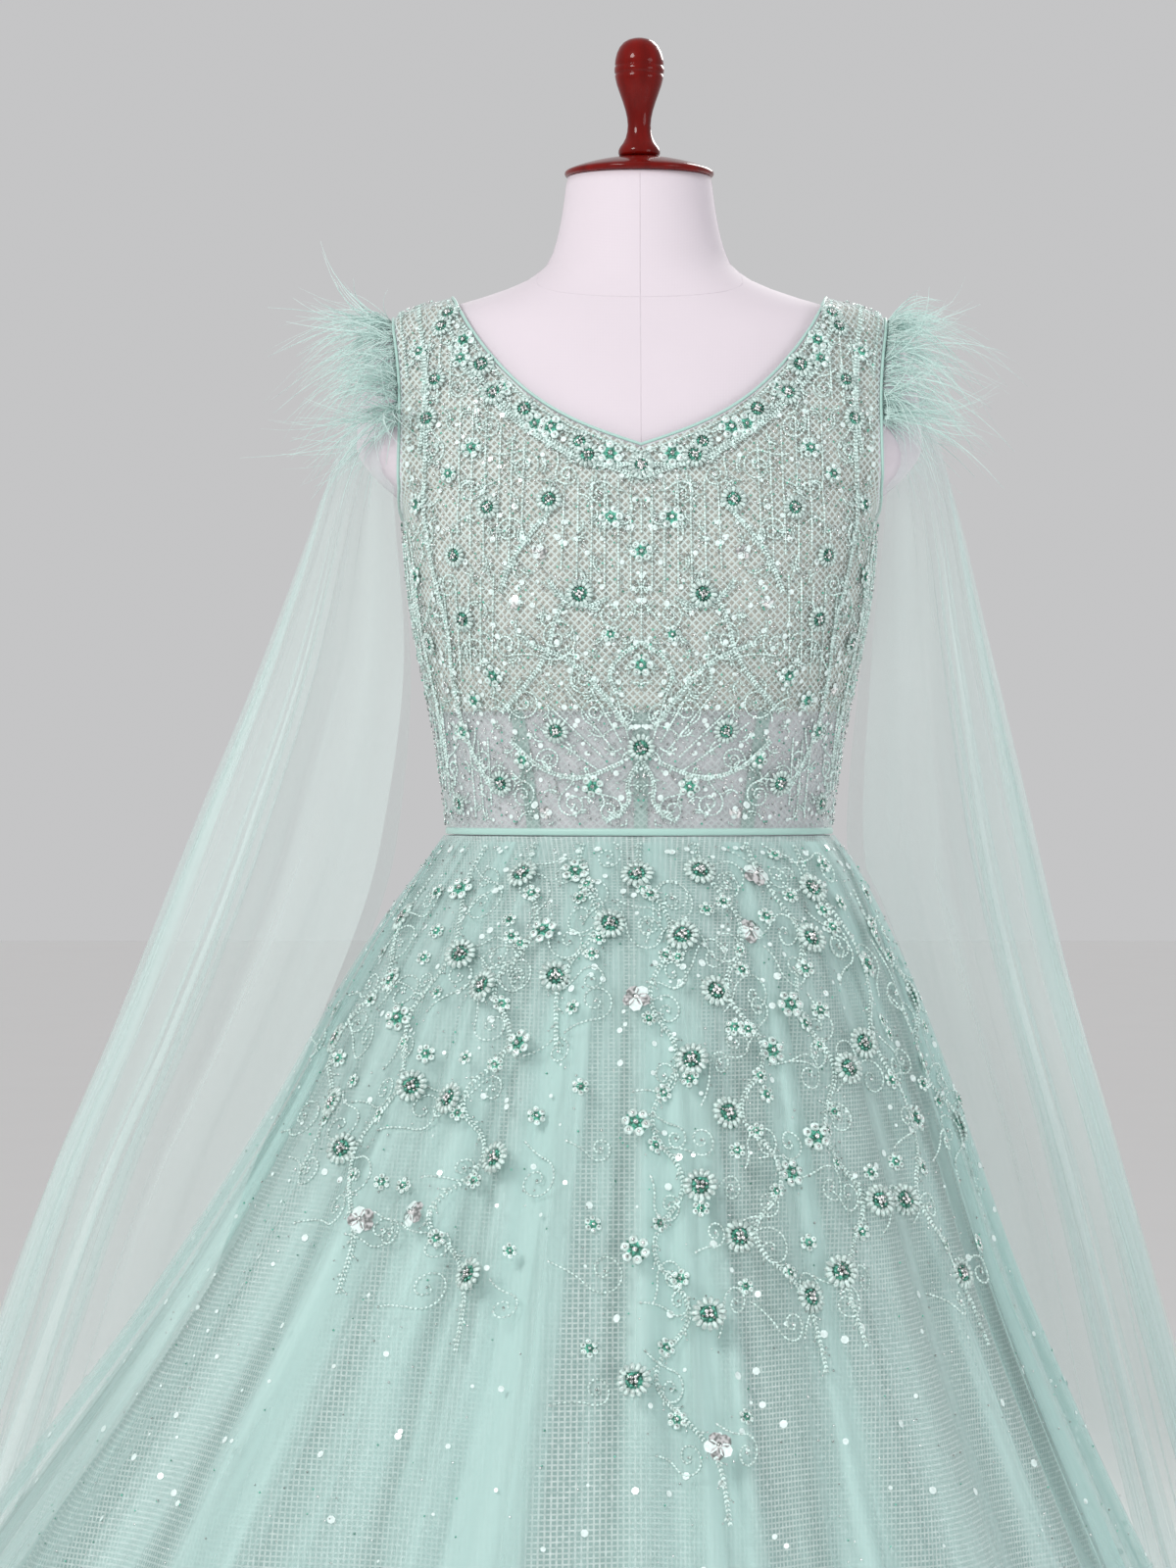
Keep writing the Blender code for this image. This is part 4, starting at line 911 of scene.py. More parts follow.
def half_panel(u, w, back):
    """Angle and height on the right half of the bodice: u from the centre out, w from the waist up."""
    bottom = WAIST + 0.5 * WAISTBAND_HIGH
    low = np.clip(w / MIDRIFF_TOP, 0.0, 1.0)
    bust = np.clip((w - MIDRIFF_TOP) / (BUST_TOP - MIDRIFF_TOP), 0.0, 1.0)
    strap = np.clip((w - BUST_TOP) / (1.0 - BUST_TOP), 0.0, 1.0)
    base = mix(bottom, LINING_HEM, low)
    inner_height = mix(base, BACK_NECK if back else NECK_POINT, bust)
    outer_height = mix(base, UNDERARM, bust)
    neck_angle, neck_top = neck_place(strap, back)
    over = np.clip((strap - FIRST_STRAP) / (1.0 - FIRST_STRAP), 0, 1)
    hole_angle, hole_height = armhole_place(0.5 * over, 0.0)
    corner = np.clip(strap / FIRST_STRAP, 0.0, 1.0)
    inner = np.where(strap > 0.0, neck_angle, math.pi / 2)
    outer = np.abs(hole_angle) * corner
    inner_height = np.where(strap > 0.0, neck_top, inner_height)
    outer_height = mix(outer_height, hole_height, corner)
    angle = (1.0 if back else -1.0) * mix(inner, outer, u)
    return angle, mix(outer_height, inner_height, (1.0 - u) ** 2)


def bodice_layer(name, back, off, from_w, finish_name, replaces):
    """One layer of the front, or both halves of the back, over the form."""
    def place(u, w):
        angle, height = half_panel(u, mix(from_w, 1.0, w), back)
        return lifted(form_point, angle, height, np.full(angle.shape, off))[0]

    def flat_place(u, w):
        angle, height = half_panel(u, mix(from_w, 1.0, w), back)
        return across_at(-np.abs(angle), height), height

    halves = [(name + "_right", (False,)), (name + "_left", (True,))] if back else [(name, (False, True))]
    for (piece, sides), node in zip(halves, replaces):
        thing = cloth(piece, 46, 108, place, flat_place, finish_name, [node], sides, 0.00005)


class DRESS_OT_bodice(bpy.types.Operator):
    """Lay the bust lining and the sheer net over the form, front and back"""
    bl_idname = "dress.bodice"
    bl_label = "Bodice layers"

    def execute(self, context):
        bodice_layer("bust_lining_front", False, LINING_OFF, MIDRIFF_TOP, "bust_crepe",
                     ["lining_front"])
        bodice_layer("bust_lining_back", True, LINING_OFF, MIDRIFF_TOP, "bust_crepe",
                     ["lining_back_right", "lining_back_left"])
        bodice_layer("bodice_net_front", False, BODICE_OFF, 0.0, "bodice_net_tulle",
                     ["bodice_front"])
        bodice_layer("bodice_net_back", True, BODICE_OFF, 0.0, "bodice_net_tulle",
                     ["bodice_back_right", "bodice_back_left"])
        return {"FINISHED"}


def edge_cord(places, side, radius, off):
    """The path of a binding beside an edge, with normals; side is 1 to the right of the way along it."""
    angle, height = np.array(places).T
    points, normals, _ = lifted(form_point, angle, height, np.full(len(angle), off))
    away = unit(np.cross(unit(np.gradient(points, axis=0)), normals)) * side
    return points + away * (0.0006 + radius), normals


class DRESS_OT_trimmings(bpy.types.Operator):
    """Bind the edges in satin, and add the boning casings, waistband and covered buttons"""
    bl_idname = "dress.trimmings"
    bl_label = "Bindings, casings, waistband and buttons"

    def execute(self, context):
        share = np.linspace(0.0, 1.0, 70)
        front = np.array(neck_place(share, False)) * ((-1,), (1,))
        back = np.array(neck_place(share[::-1], True))
        right = np.concatenate([front, back[:, 1:]], axis=1)[:, 1:-1].T
        left = np.stack([-math.pi - right[::-1, 0], right[::-1, 1]], axis=1)
        neck = np.concatenate([left, [(-math.pi / 2, NECK_POINT)], right])
        tube("neck_edge_binding", [edge_cord(neck, -1, BINDING_RADIUS, BINDING_OFF)], BINDING_RADIUS,
             "mint_satin", 8, ["neck_binding"])
        share = np.linspace(0.0, 1.0, 120)
        hole = np.array(armhole_place(share, 0.0)).T
        hole = np.concatenate([[(0.0, UNDERARM)], hole[2:-2], [(0.0, UNDERARM)]])
        path, normals = edge_cord(hole, 1, BINDING_RADIUS, BINDING_OFF)
        for name, flip in (("right", (1.0, 1.0, 1.0)), ("left", (-1.0, 1.0, 1.0))):
            tube(f"armhole_edge_binding_{name}", [(path * flip, normals * flip)], BINDING_RADIUS,
                 "mint_satin", 8, [f"armhole_binding_{name}"])

        low, high = WAIST + 0.5 * WAISTBAND_HIGH, LINING_HEM
        for name, side in (("left", -1), ("centre", 0), ("right", 1)):
            def casing(u, w, side=side):
                height = mix(low, high, w)
                x = side * mix(CASING_AT_WAIST, CASING_AT_TOP, w) + CASING_WIDE * (u - 0.5)
                round_up = CASING_OFF + CASING_BULGE * np.sqrt(np.clip(np.sin(math.pi * u), 0.0, 1.0))
                return lifted(form_point, -np.arccos(x / form["half_width"](height)), height, round_up)[0]

            piece = cloth(f"boning_casing_{name}", 12, 40, casing, (0.009, 0.08), "casing_ribbon",
                          [f"casing_{name}"])

        def band(u, w):
            bulge = BAND_OFF + BAND_BULGE * np.sqrt(np.clip(np.sin(math.pi * w), 0.0, 1.0))
            return lifted(form_point, u * math.tau, WAIST + WAISTBAND_HIGH * (w - 0.5), bulge)[0]

        piece = cloth("satin_waistband", 180, 10, band, (0.70, 0.005), "mint_satin",
                      ["waistband"], join=0.00002)

        bm = bmesh.new()
        for number in range(BUTTONS):
            lowest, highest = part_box(f"button_{number + 1}")
            middle = 0.5 * (lowest + highest)
            around = (highest.z - lowest.z) / 2.0
            verts = bmesh.ops.create_uvsphere(
                bm, u_segments=20, v_segments=10, radius=1.0,
                matrix=Matrix.Translation(middle) @ Matrix.Diagonal((around, BUTTON_THICK, around, 1.0)),
            )["verts"]
            slope = form_point(np.array([math.pi / 2]), np.array([middle.z]))[0]
            bmesh.ops.translate(bm, verts=verts, vec=(0.0, max(0.0, slope[1] + BUTTON_OFF - middle.y), 0.0))
        finished("covered_buttons", bm, ["mint_satin"],
                 [f"button_{number + 1}" for number in range(BUTTONS)])
        return {"FINISHED"}


# Skirt and wings


def half_girth(height):
    """Roughly how far it is round half the skirt at a height."""
    return math.pi / 2 * (0.5 * (skirt["left"](height) + skirt["right"](height)) + skirt["front"](height))


class DRESS_OT_skirt(bpy.types.Operator):
    """Hang the outer tulle, the second tulle and the net underskirt"""
    bl_idname = "dress.skirt"
    bl_label = "Skirt layers"

    def execute(self, context):
        def rise(w):
            return SKIRT_HEM + (SKIRT_TOP - SKIRT_HEM) * (1.0 - (1.0 - w) ** 1.25)

        def net_size(u, w):
            height = rise(w)
            return (u - 0.5) * half_girth(height), w * 1.15

        for half, start in (("front", -math.pi), ("back", 0.0)):
            def outer(u, w, start=start):
                return skirt_point(start + math.pi * u, rise(w))

            def second(u, w, start=start):
                return second_point(start + math.pi * u, rise(w * 0.985 + 0.004))

            def net(u, w, start=start):
                return net_point(start + math.pi * u, rise(w))

            piece = cloth(f"outer_tulle_{half}", 324, 84, outer, (2.6, 1.2), "skirt_outer_tulle",
                          [f"skirt_{half}"])
            piece = cloth(f"second_tulle_{half}", 220, 70, second, (2.4, 1.2), "skirt_second_tulle")
            piece = cloth(f"net_underskirt_{half}", 150, 60, net, net_size, "underskirt_net",
                          [f"underskirt_{half}"])
        return {"FINISHED"}


def body_reach(side, y, height):
    """How far the dressed body reaches sideways at this depth and height."""
    deep = np.where(y > 0.0, form["back"](height), form["front"](height))
    square = form["square"](height)
    inside = np.clip(1.0 - np.abs(y / deep) ** square, 0.0, 1.0)
    off = np.where(height > ARMHOLE_LOW + 0.012, 0.0036, 0.0104)
    reach = np.where(np.abs(y) < deep, form["half_width"](height) * inside ** (1.0 / square) + off, 0.0)
    wide = skirt["right" if side > 0 else "left"](height)
    deep = np.where(y > 0.0, skirt["back"](height), skirt["front"](height))
    over = wide * np.sqrt(np.clip(1.0 - (y / deep) ** 2, 0.0, 1.0)) + 0.0045
    return np.where(height < SKIRT_TOP + 0.030, np.maximum(reach, over), reach)


# the share of its drop from which a wing's sheet turns to the edge of the feather trim
TURN_FROM, TURN_OVER = 0.983, 0.017


def wing_place(side, table):
    """The wing's sheet as a function of shares from front to back and from hem to shoulder."""
    columns = {name: column(table, name) for name in WingSection._fields[1:]}

    def surface(share, height):
        y = mix(columns["front"](height), columns["back"](height), share)
        bow = np.clip(np.sin(math.pi * share), 0.0, 1.0) ** 0.6
        fold = columns["fold"](height)
        drift = 0.35 * np.sin(5.0 * height + 4.0 * share)
        x = mix(columns["inner"](height), columns["outer"](height), bow)
        x = x + fold * (1 - np.cos(4 * math.tau * share))
        x = x + 0.55 * fold * (1.0 - np.cos(math.tau * (15.0 * share + 2.0 * share ** 2) + drift * 6.0))
        x = x - 0.55 * fold
        y = y + 0.5 * fold * np.sin(math.tau * 9.0 * share + 3.0 * drift)
        return stacked(np.maximum(x, body_reach(side, y, height) + 0.0006), y, height)

    def place(u, w):
        angle, seat_height = armhole_place(u, TRIM_OUTER + 0.0003, TRIM_LOW)
        seat = lifted(form_point, angle, seat_height, np.full(u.shape, TRIM_MIDDLE))[0]
        drop = 1.0 - (1.0 - w) ** 1.35
        height = mix(WING_HEM, seat_height, np.minimum(drop, TURN_FROM))
        return mix(surface(u, height), seat, np.clip((drop - TURN_FROM) / TURN_OVER, 0.0, 1.0)[:, None])

    return place


class DRESS_OT_wings(bpy.types.Operator):
    """Hang the two sheer tulle wings from the shoulder trims"""
    bl_idname = "dress.wings"
    bl_label = "Shoulder wings"

    def execute(self, context):
        for name, side, table in (("left", -1, LEFT_WING), ("right", 1, RIGHT_WING)):
            piece = cloth(f"tulle_wing_{name}", 210, 90, wing_place(side, table), (1.1, 1.4), "wing_tulle",
                          [f"wing_{name}"], sides=(side < 0,))
        return {"FINISHED"}


# Feather trims

LOCKS, STRANDS, STRAND_LONG = 44, 780, 0.060


def strands(name, roots, ways, lengths, droop, radius, lock, finish_name, replaces, seed):
    """Fine tapered barbs that start along their ways, wander and bend down under their own weight."""
    rng = np.random.default_rng(seed)
    count, steps = len(roots), 8
    t = np.linspace(0.0, 1.0, steps + 1)
    lean = rng.normal(size=(lock.max() + 1, 3))[lock] + rng.normal(scale=0.5, size=(count, 3))
    side = unit(np.cross(ways, lean))
    bend = rng.normal(scale=0.34, size=lock.max() + 1)[lock] + rng.normal(scale=0.16, size=count)
    path = roots[:, None] + ways[:, None] * (lengths[:, None] * t)[..., None]
    path = path + side[:, None] * (lengths[:, None] * bend[:, None] * t ** 2)[..., None]
    curl = rng.normal(scale=0.32, size=lock.max() + 1)[lock] + rng.normal(scale=0.14, size=count)
    path = path + np.cross(ways, side)[:, None] * (lengths[:, None] * curl[:, None] * t ** 3)[..., None]
    path[..., 2] -= (droop * lengths)[:, None] * t ** 2.2
    tangent = unit(np.gradient(path, axis=1))
    a = unit(np.cross(tangent, side[:, None] + 0.01))
    b = np.cross(tangent, a)
    turns = np.arange(3) * math.tau / 3
    round_ = a[:, :, None] * np.cos(turns)[:, None] + b[:, :, None] * np.sin(turns)[:, None]
    thick = radius[:, None] * (1.0 - 0.8 * t ** 2)
    verts = path[:, :, None] + round_ * thick[:, :, None, None]
    start = np.arange(count)[:, None, None] * (steps + 1) * 3 + np.arange(steps)[None, :, None] * 3
    i = np.arange(3)[None, None, :]
    j = (i + 1) % 3
    quads = np.stack([start + i, start + j, start + 3 + j, start + 3 + i], axis=-1).reshape(-1, 4)
    caps = np.concatenate([
        np.arange(count)[:, None] * (steps + 1) * 3 + np.array([[2, 1, 0]]),
        np.arange(count)[:, None] * (steps + 1) * 3 + steps * 3 + np.array([[0, 1, 2]]),
    ])
    mesh = bpy.data.meshes.new(name)
    mesh.from_pydata(verts.reshape(-1, 3), [], quads.tolist() + caps.tolist())
    return placed(name, mesh, [finish_name], replaces)


class DRESS_OT_feathers(bpy.types.Operator):
    """Sew the ostrich feather trims along the shoulders"""
    bl_idname = "dress.feathers"
    bl_label = "Feather trims"

    def execute(self, context):
        thick = context.scene.dress_sizes.strand / 2.0
        rng = np.random.default_rng(7)
        for name, side in (("left", -1), ("right", 1)):
            count = STRANDS
            bunch = rng.integers(0, LOCKS, count)
            share = 0.02 + 0.96 * (bunch + 0.5) / LOCKS + rng.normal(scale=0.008, size=count)
            share = np.clip(share, 0.01, 0.99)
            angle, height = armhole_place(share, 0.0031, TRIM_LOW)
            roots, normals, _ = lifted(form_point, angle, height, rng.uniform(0.0018, 0.0034, count))
            loose = rng.normal(size=(LOCKS, 3)) * (0.10, 0.80, 0.48)
            outward = np.array((1.0, 0.0, 0.10)) + loose[bunch] + rng.normal(scale=0.20, size=(count, 3))
            down = rng.uniform(size=count) < 0.38
            outward = np.where(down[:, None], 0.9 * outward + (-0.2, -0.5, -0.3), outward)
            ways = unit(outward + 0.45 * normals)
            lengths = STRAND_LONG * (1.0 + 0.25 * np.sin(bunch * 1.7)) * rng.uniform(0.62, 1.15, count)
            lengths = np.where(down, 0.48 * lengths, lengths)
            droop = 0.22 + 0.20 * np.sin(bunch * 2.9) + rng.uniform(0.0, 0.15, count)
            radius = thick * np.where(rng.uniform(size=count) < 0.42, 2.5, 1.2)
            flip = np.array((side, 1.0, 1.0))
            strands(f"ostrich_trim_{name}", roots * flip, ways * flip, lengths, droop, radius,
                    bunch, "dyed_ostrich_feather", [f"feather_trim_{name}"], 11 + side)
        return {"FINISHED"}


# Beadwork: laid out flat as (across, height, direction across, direction up, size), then laid on the cloth

BEADWORK = ("stitched_thread", "bugle_glass", "green_glass", "silver_bead", "white_sequin")
THREAD, BUGLE, GREEN, SILVER, SEQUIN = range(5)

MAP_HEIGHTS = np.linspace(1.076, 1.436, 91)
MAP_ANGLES = np.linspace(-math.pi / 2, math.pi / 2, 361)
MAP_STEPS = np.linalg.norm(np.diff(form_point(MAP_ANGLES[None], MAP_HEIGHTS[:, None]), axis=1), axis=-1)
MAP_LENGTHS = np.concatenate([np.zeros((91, 1)), np.cumsum(MAP_STEPS, axis=1)], axis=1)


def between_rows(table, height):
    """Blend the two rows of the map that lie next to each height."""
    place = np.clip((height - MAP_HEIGHTS[0]) / (MAP_HEIGHTS[1] - MAP_HEIGHTS[0]), 0.0, 89.999)
    low = place.astype(int)
    index = np.arange(table.shape[1])
    return mix(table[low, index], table[low + 1, index], place - low)


def angle_at(across, height):
    """The angle of places this far round the body from the centre front, on the right."""
    table = np.array([np.interp(across, lengths, MAP_ANGLES) for lengths in MAP_LENGTHS])
    return between_rows(table, height)


def across_at(angle, height):
    """How far round the body from the centre front an angle on the right is."""
    table = np.array([np.interp(angle, MAP_ANGLES, lengths) for lengths in MAP_LENGTHS])
    return between_rows(table, height)


def beside_centre(x, height):
    """Flat places of points on the front, from their distance beside the centre plane."""
    return np.stack([across_at(-side_angle(x, height), height), height], axis=1)


def bead_place(place, turn, tilt):
    """Tilted about its own middle, moved to its place, then turned with that about z."""
    return Matrix.Rotation(turn, 4, "Z") @ Matrix.Translation(place) @ Matrix.Rotation(tilt, 4, "Y")


def add_bead(bm, place, size, kind, turn=0.0, tilt=0.0, segments=5, rings=3):
    """A bead with its length along x, turned about z."""
    shape = Matrix.Diagonal((*size, 1.0)) @ Matrix.Rotation(math.pi / 2, 4, "Y")
    matrix = bead_place(place, turn, tilt) @ shape
    verts = bmesh.ops.create_uvsphere(
        bm, u_segments=segments, v_segments=rings, radius=0.5, matrix=matrix,
    )["verts"]
    for face in {face for vert in verts for face in vert.link_faces}:
        face.material_index = kind


def add_sequin(bm, place, size, turn=0.0, tilt=0.0, kind=SEQUIN, segments=7):
    """A cupped sequin with a raised rim."""
    verts = bmesh.ops.create_circle(
        bm, cap_ends=True, segments=segments, radius=size / 2, matrix=bead_place(place, turn, tilt),
    )["verts"]
    rim = list({face for vert in verts for face in vert.link_faces})
    bmesh.ops.inset_region(bm, faces=rim, thickness=size * 0.16, depth=-size * 0.08)
    for face in {face for vert in verts for face in vert.link_faces} | set(rim):
        face.material_index = kind


def loop_flower(bm):
    """Radiating bugle beads on green glass, round a dark ring with a silver centre, 1 across."""
    add_bead(bm, (0.0, 0.0, 0.02), (0.66, 0.66, 0.04), GREEN, segments=10, rings=2)
    for i in range(15):
        add_bead(bm, (0.370, 0.0, 0.06), (0.28, 0.180, 0.12), BUGLE, turn=math.tau * i / 15, tilt=0.18)
    for i in range(9):
        kind = SILVER if i % 3 == 0 else GREEN
        add_bead(bm, (0.175, 0.0, 0.07), (0.11, 0.11, 0.09), kind, turn=math.tau * i / 9, rings=2)
    for i in range(4):
        add_bead(bm, (0.085, 0.0, 0.11), (0.15, 0.15, 0.13), SILVER, turn=math.tau * i / 4)


def round_flower(bm):
    """Six domed petals with silver hearts on green glass, round a dark ring, 1 across."""
    add_bead(bm, (0.0, 0.0, 0.02), (0.84, 0.84, 0.04), GREEN, segments=12, rings=2)
    for i in range(6):
        turn = math.tau * (i + 0.5) / 6
        add_bead(bm, (0.335, 0.0, 0.04), (0.34, 0.35, 0.10), THREAD, turn=turn, segments=8)
        add_bead(bm, (0.335, 0.0, 0.09), (0.14, 0.14, 0.08), SILVER, turn=turn, rings=2)
    for i in range(8):
        add_bead(bm, (0.155, 0.0, 0.07), (0.09, 0.09, 0.08), GREEN, turn=math.tau * i / 8, rings=2)
    add_bead(bm, (0.0, 0.0, 0.11), (0.21, 0.21, 0.15), SILVER)


def small_flower(bm):
    """Five tilted sequins round a silver bead, 1 across."""
    for i in range(5):
        kind = (SILVER, SEQUIN)[i % 2]
        add_sequin(bm, (0.27, 0.0, 0.07), 0.46, turn=math.tau * i / 5, tilt=0.30, kind=kind)
    add_bead(bm, (0.0, 0.0, 0.12), (0.22, 0.22, 0.16), SILVER)


def bead_shapes():
    """The template of each kind of bead, at its real size."""
    sizes = bpy.context.scene.dress_sizes
    thick, seed, sequin = sizes.thread, sizes.seed, sizes.sequin
    return {
        "loops": template(loop_flower),
        "round": template(round_flower),
        "small": template(small_flower),
        "thread": template(lambda bm: add_bead(bm, (0, 0, 0), (1.9 * thick, thick, thick), THREAD, rings=2)),
        "bugle": template(lambda bm: add_bead(bm, (0, 0, 0), (0.0042, thick, thick), BUGLE, segments=5)),
        "leaf": template(lambda bm: add_bead(bm, (0, 0, 0), (0.0050, 0.0020, 0.0013), BUGLE, rings=2)),
        "seed": template(lambda bm: add_bead(bm, (0, 0, 0), (seed, seed, 0.8 * seed), SILVER, rings=2)),
        "green": template(lambda bm: add_bead(bm, (0, 0, 0), (seed, seed, 0.8 * seed), GREEN, rings=2)),
        "sequin": template(lambda bm: add_sequin(bm, (0, 0, 0.0003), sequin)),
    }


def put(work, kind, places, ways=(1.0, 0.0), scale=1.0):
    places = np.atleast_2d(places)
    ways = np.broadcast_to(ways, places.shape)
    scale = np.broadcast_to(scale, (len(places),))[:, None]
    work.setdefault(kind, []).append(np.concatenate([places, ways, scale], axis=1))


def resampled(path, step):
    """Places and directions at even steps along a path."""
    path = np.asarray(path, float)
    lengths = np.concatenate([[0.0], np.cumsum(np.linalg.norm(np.diff(path, axis=0), axis=1))])
    at = np.linspace(0.0, lengths[-1], max(2, round(lengths[-1] / step)) + 1)
    places = np.stack([np.interp(at, lengths, path[:, 0]), np.interp(at, lengths, path[:, 1])], axis=1)
    return places, unit(np.gradient(places, axis=0))


def rounded(path):
    """A path with its corners rounded off."""
    path = np.asarray(path, float)
    for _ in range(3):
        before, after = path[:-1], path[1:]
        cut = np.stack([0.75 * before + 0.25 * after, 0.25 * before + 0.75 * after], axis=1).reshape(-1, 2)
        path = np.concatenate([path[:1], cut, path[-1:]])
    return path


def heading(turns):
    """Flat directions at these angles."""
    return np.stack([np.cos(turns), np.sin(turns)], axis=1)


def turned(ways, angle):
    c, s = np.cos(angle), np.sin(angle)
    return np.stack([c * ways[:, 0] - s * ways[:, 1], s * ways[:, 0] + c * ways[:, 1]], axis=1)


def chain(work, path, step):
    """A couched cord: small beads end to end."""
    places, ways = resampled(path, step)
    put(work, "thread", places, ways, 1.28)


def stem(work, path, step):
    """A twisted stem of slanting beads with a leaf on each side in turn."""
    places, ways = resampled(rounded(path), step)
    for side in (-1.0, 1.0):
        beside = turned(ways, side * math.pi / 2) * 0.0008
        put(work, "thread", places + beside, turned(ways, 0.6 * side), 1.35)
    leaves = places[3:-1:4]
    sides = np.where(np.arange(len(leaves)) % 2, 1.0, -1.0)
    leaf_ways = turned(ways[3:-1:4], 0.85 * sides)
    put(work, "leaf", leaves + leaf_ways * 0.0032, leaf_ways)
    put(work, "seed", leaves + leaf_ways * 0.0066, leaf_ways, 0.75)


def sprig(work, place, turn, reach, step):
    """A short curled stalk with three leaves and a silver bead at its tip."""
    bends = turn + np.linspace(0.0, 1.5, 7)
    path = place + np.cumsum(heading(bends) * reach / 7, axis=0)
    chain(work, path, step)
    places, ways = resampled(path, reach / 3)
    for side in (-1.0, 1.0):
        leaf_ways = turned(ways[1:3], side * 0.9)
        put(work, "leaf", places[1:3] + leaf_ways * 0.0028, leaf_ways, 0.8)
    put(work, "seed", path[-1] + ways[-1] * 0.0018)


def scroll(work, centre, radius, start, hand, tail, step, rounds=1.6):
    """A spiral cord that opens from its centre and runs off in a tail."""
    turns = np.linspace(0.0, rounds, 60)
    angle = math.radians(start) + hand * math.tau * (turns - rounds)
    reach = mix(0.0014, radius, turns / rounds)
    path = np.stack([centre[0] + reach * np.cos(angle), centre[1] + reach * np.sin(angle)], axis=1)
    way = unit(path[-1:] - path[-2:-1])
    bends = np.linspace(0.0, 1.0, 12)[1:]
    off = turned(np.repeat(way, len(bends), axis=0), -hand * 0.55 * bends)
    path = np.concatenate([path, path[-1] + np.cumsum(off * tail / len(bends), axis=0)])
    chain(work, path, step)
    put(work, "seed", [centre, path[-1]], scale=1.1)


def bead_row(work, top, bottom, step):
    """A straight row of stitched beads between silver ones."""
    chain(work, [top, bottom], step)
    places, _ = resampled([top, bottom], 0.0090)
    put(work, "seed", places, scale=0.9)


def laid(work, on_cloth, shapes, keep):
    """Parts for strewn() from flat beadwork, on the cloth that on_cloth gives."""
    parts = {}
    for kind, blocks in work.items():
        rows = np.concatenate(blocks)
        points, normals, along = on_cloth(rows[:, 0], rows[:, 1])
        upward = np.cross(normals, along)
        ways = along * rows[:, 2:3] + upward * rows[:, 3:4]
        kept = keep(points)
        parts[kind] = (shapes[kind], points[kept], normals[kept], ways[kept], rows[kept, 4])
    return parts


def mirrored(part):
    shape, points, normals, ways, scales = part
    flip = np.array((-1.0, 1.0, 1.0))
    off = np.abs(points[:, 0]) > 0.0005
    return shape, points[off] * flip, normals[off] * flip, ways[off] * flip, scales[off]


def on_bodice(points, back):
    """Which points lie on the bodice, clear of its edges."""
    x, height = np.abs(points[:, 0]), points[:, 2]
    under_neck = height < neck_height(x, back) - 0.0016
    beside_hole = (height < UNDERARM - 0.004) | (x < armhole_x(height) - 0.0012)
    side = points[:, 1] > 0.0 if back else points[:, 1] <= 0.0
    return under_neck & beside_hole & side & (height > WAIST + 0.0045)


NECK_STEMS, NECK_FLOWERS, NECK_FLOWER_STEP = (0.0030, 0.0210), 0.0120, 0.0225
HOLE_STEMS, HOLE_STEM_TOP = (0.0040, 0.0170), 1.426
BEADED_WIDE, BEADED_HIGH, BEADED_FROM, BEADED_TO = 0.20, 0.34, 1.082, 1.432


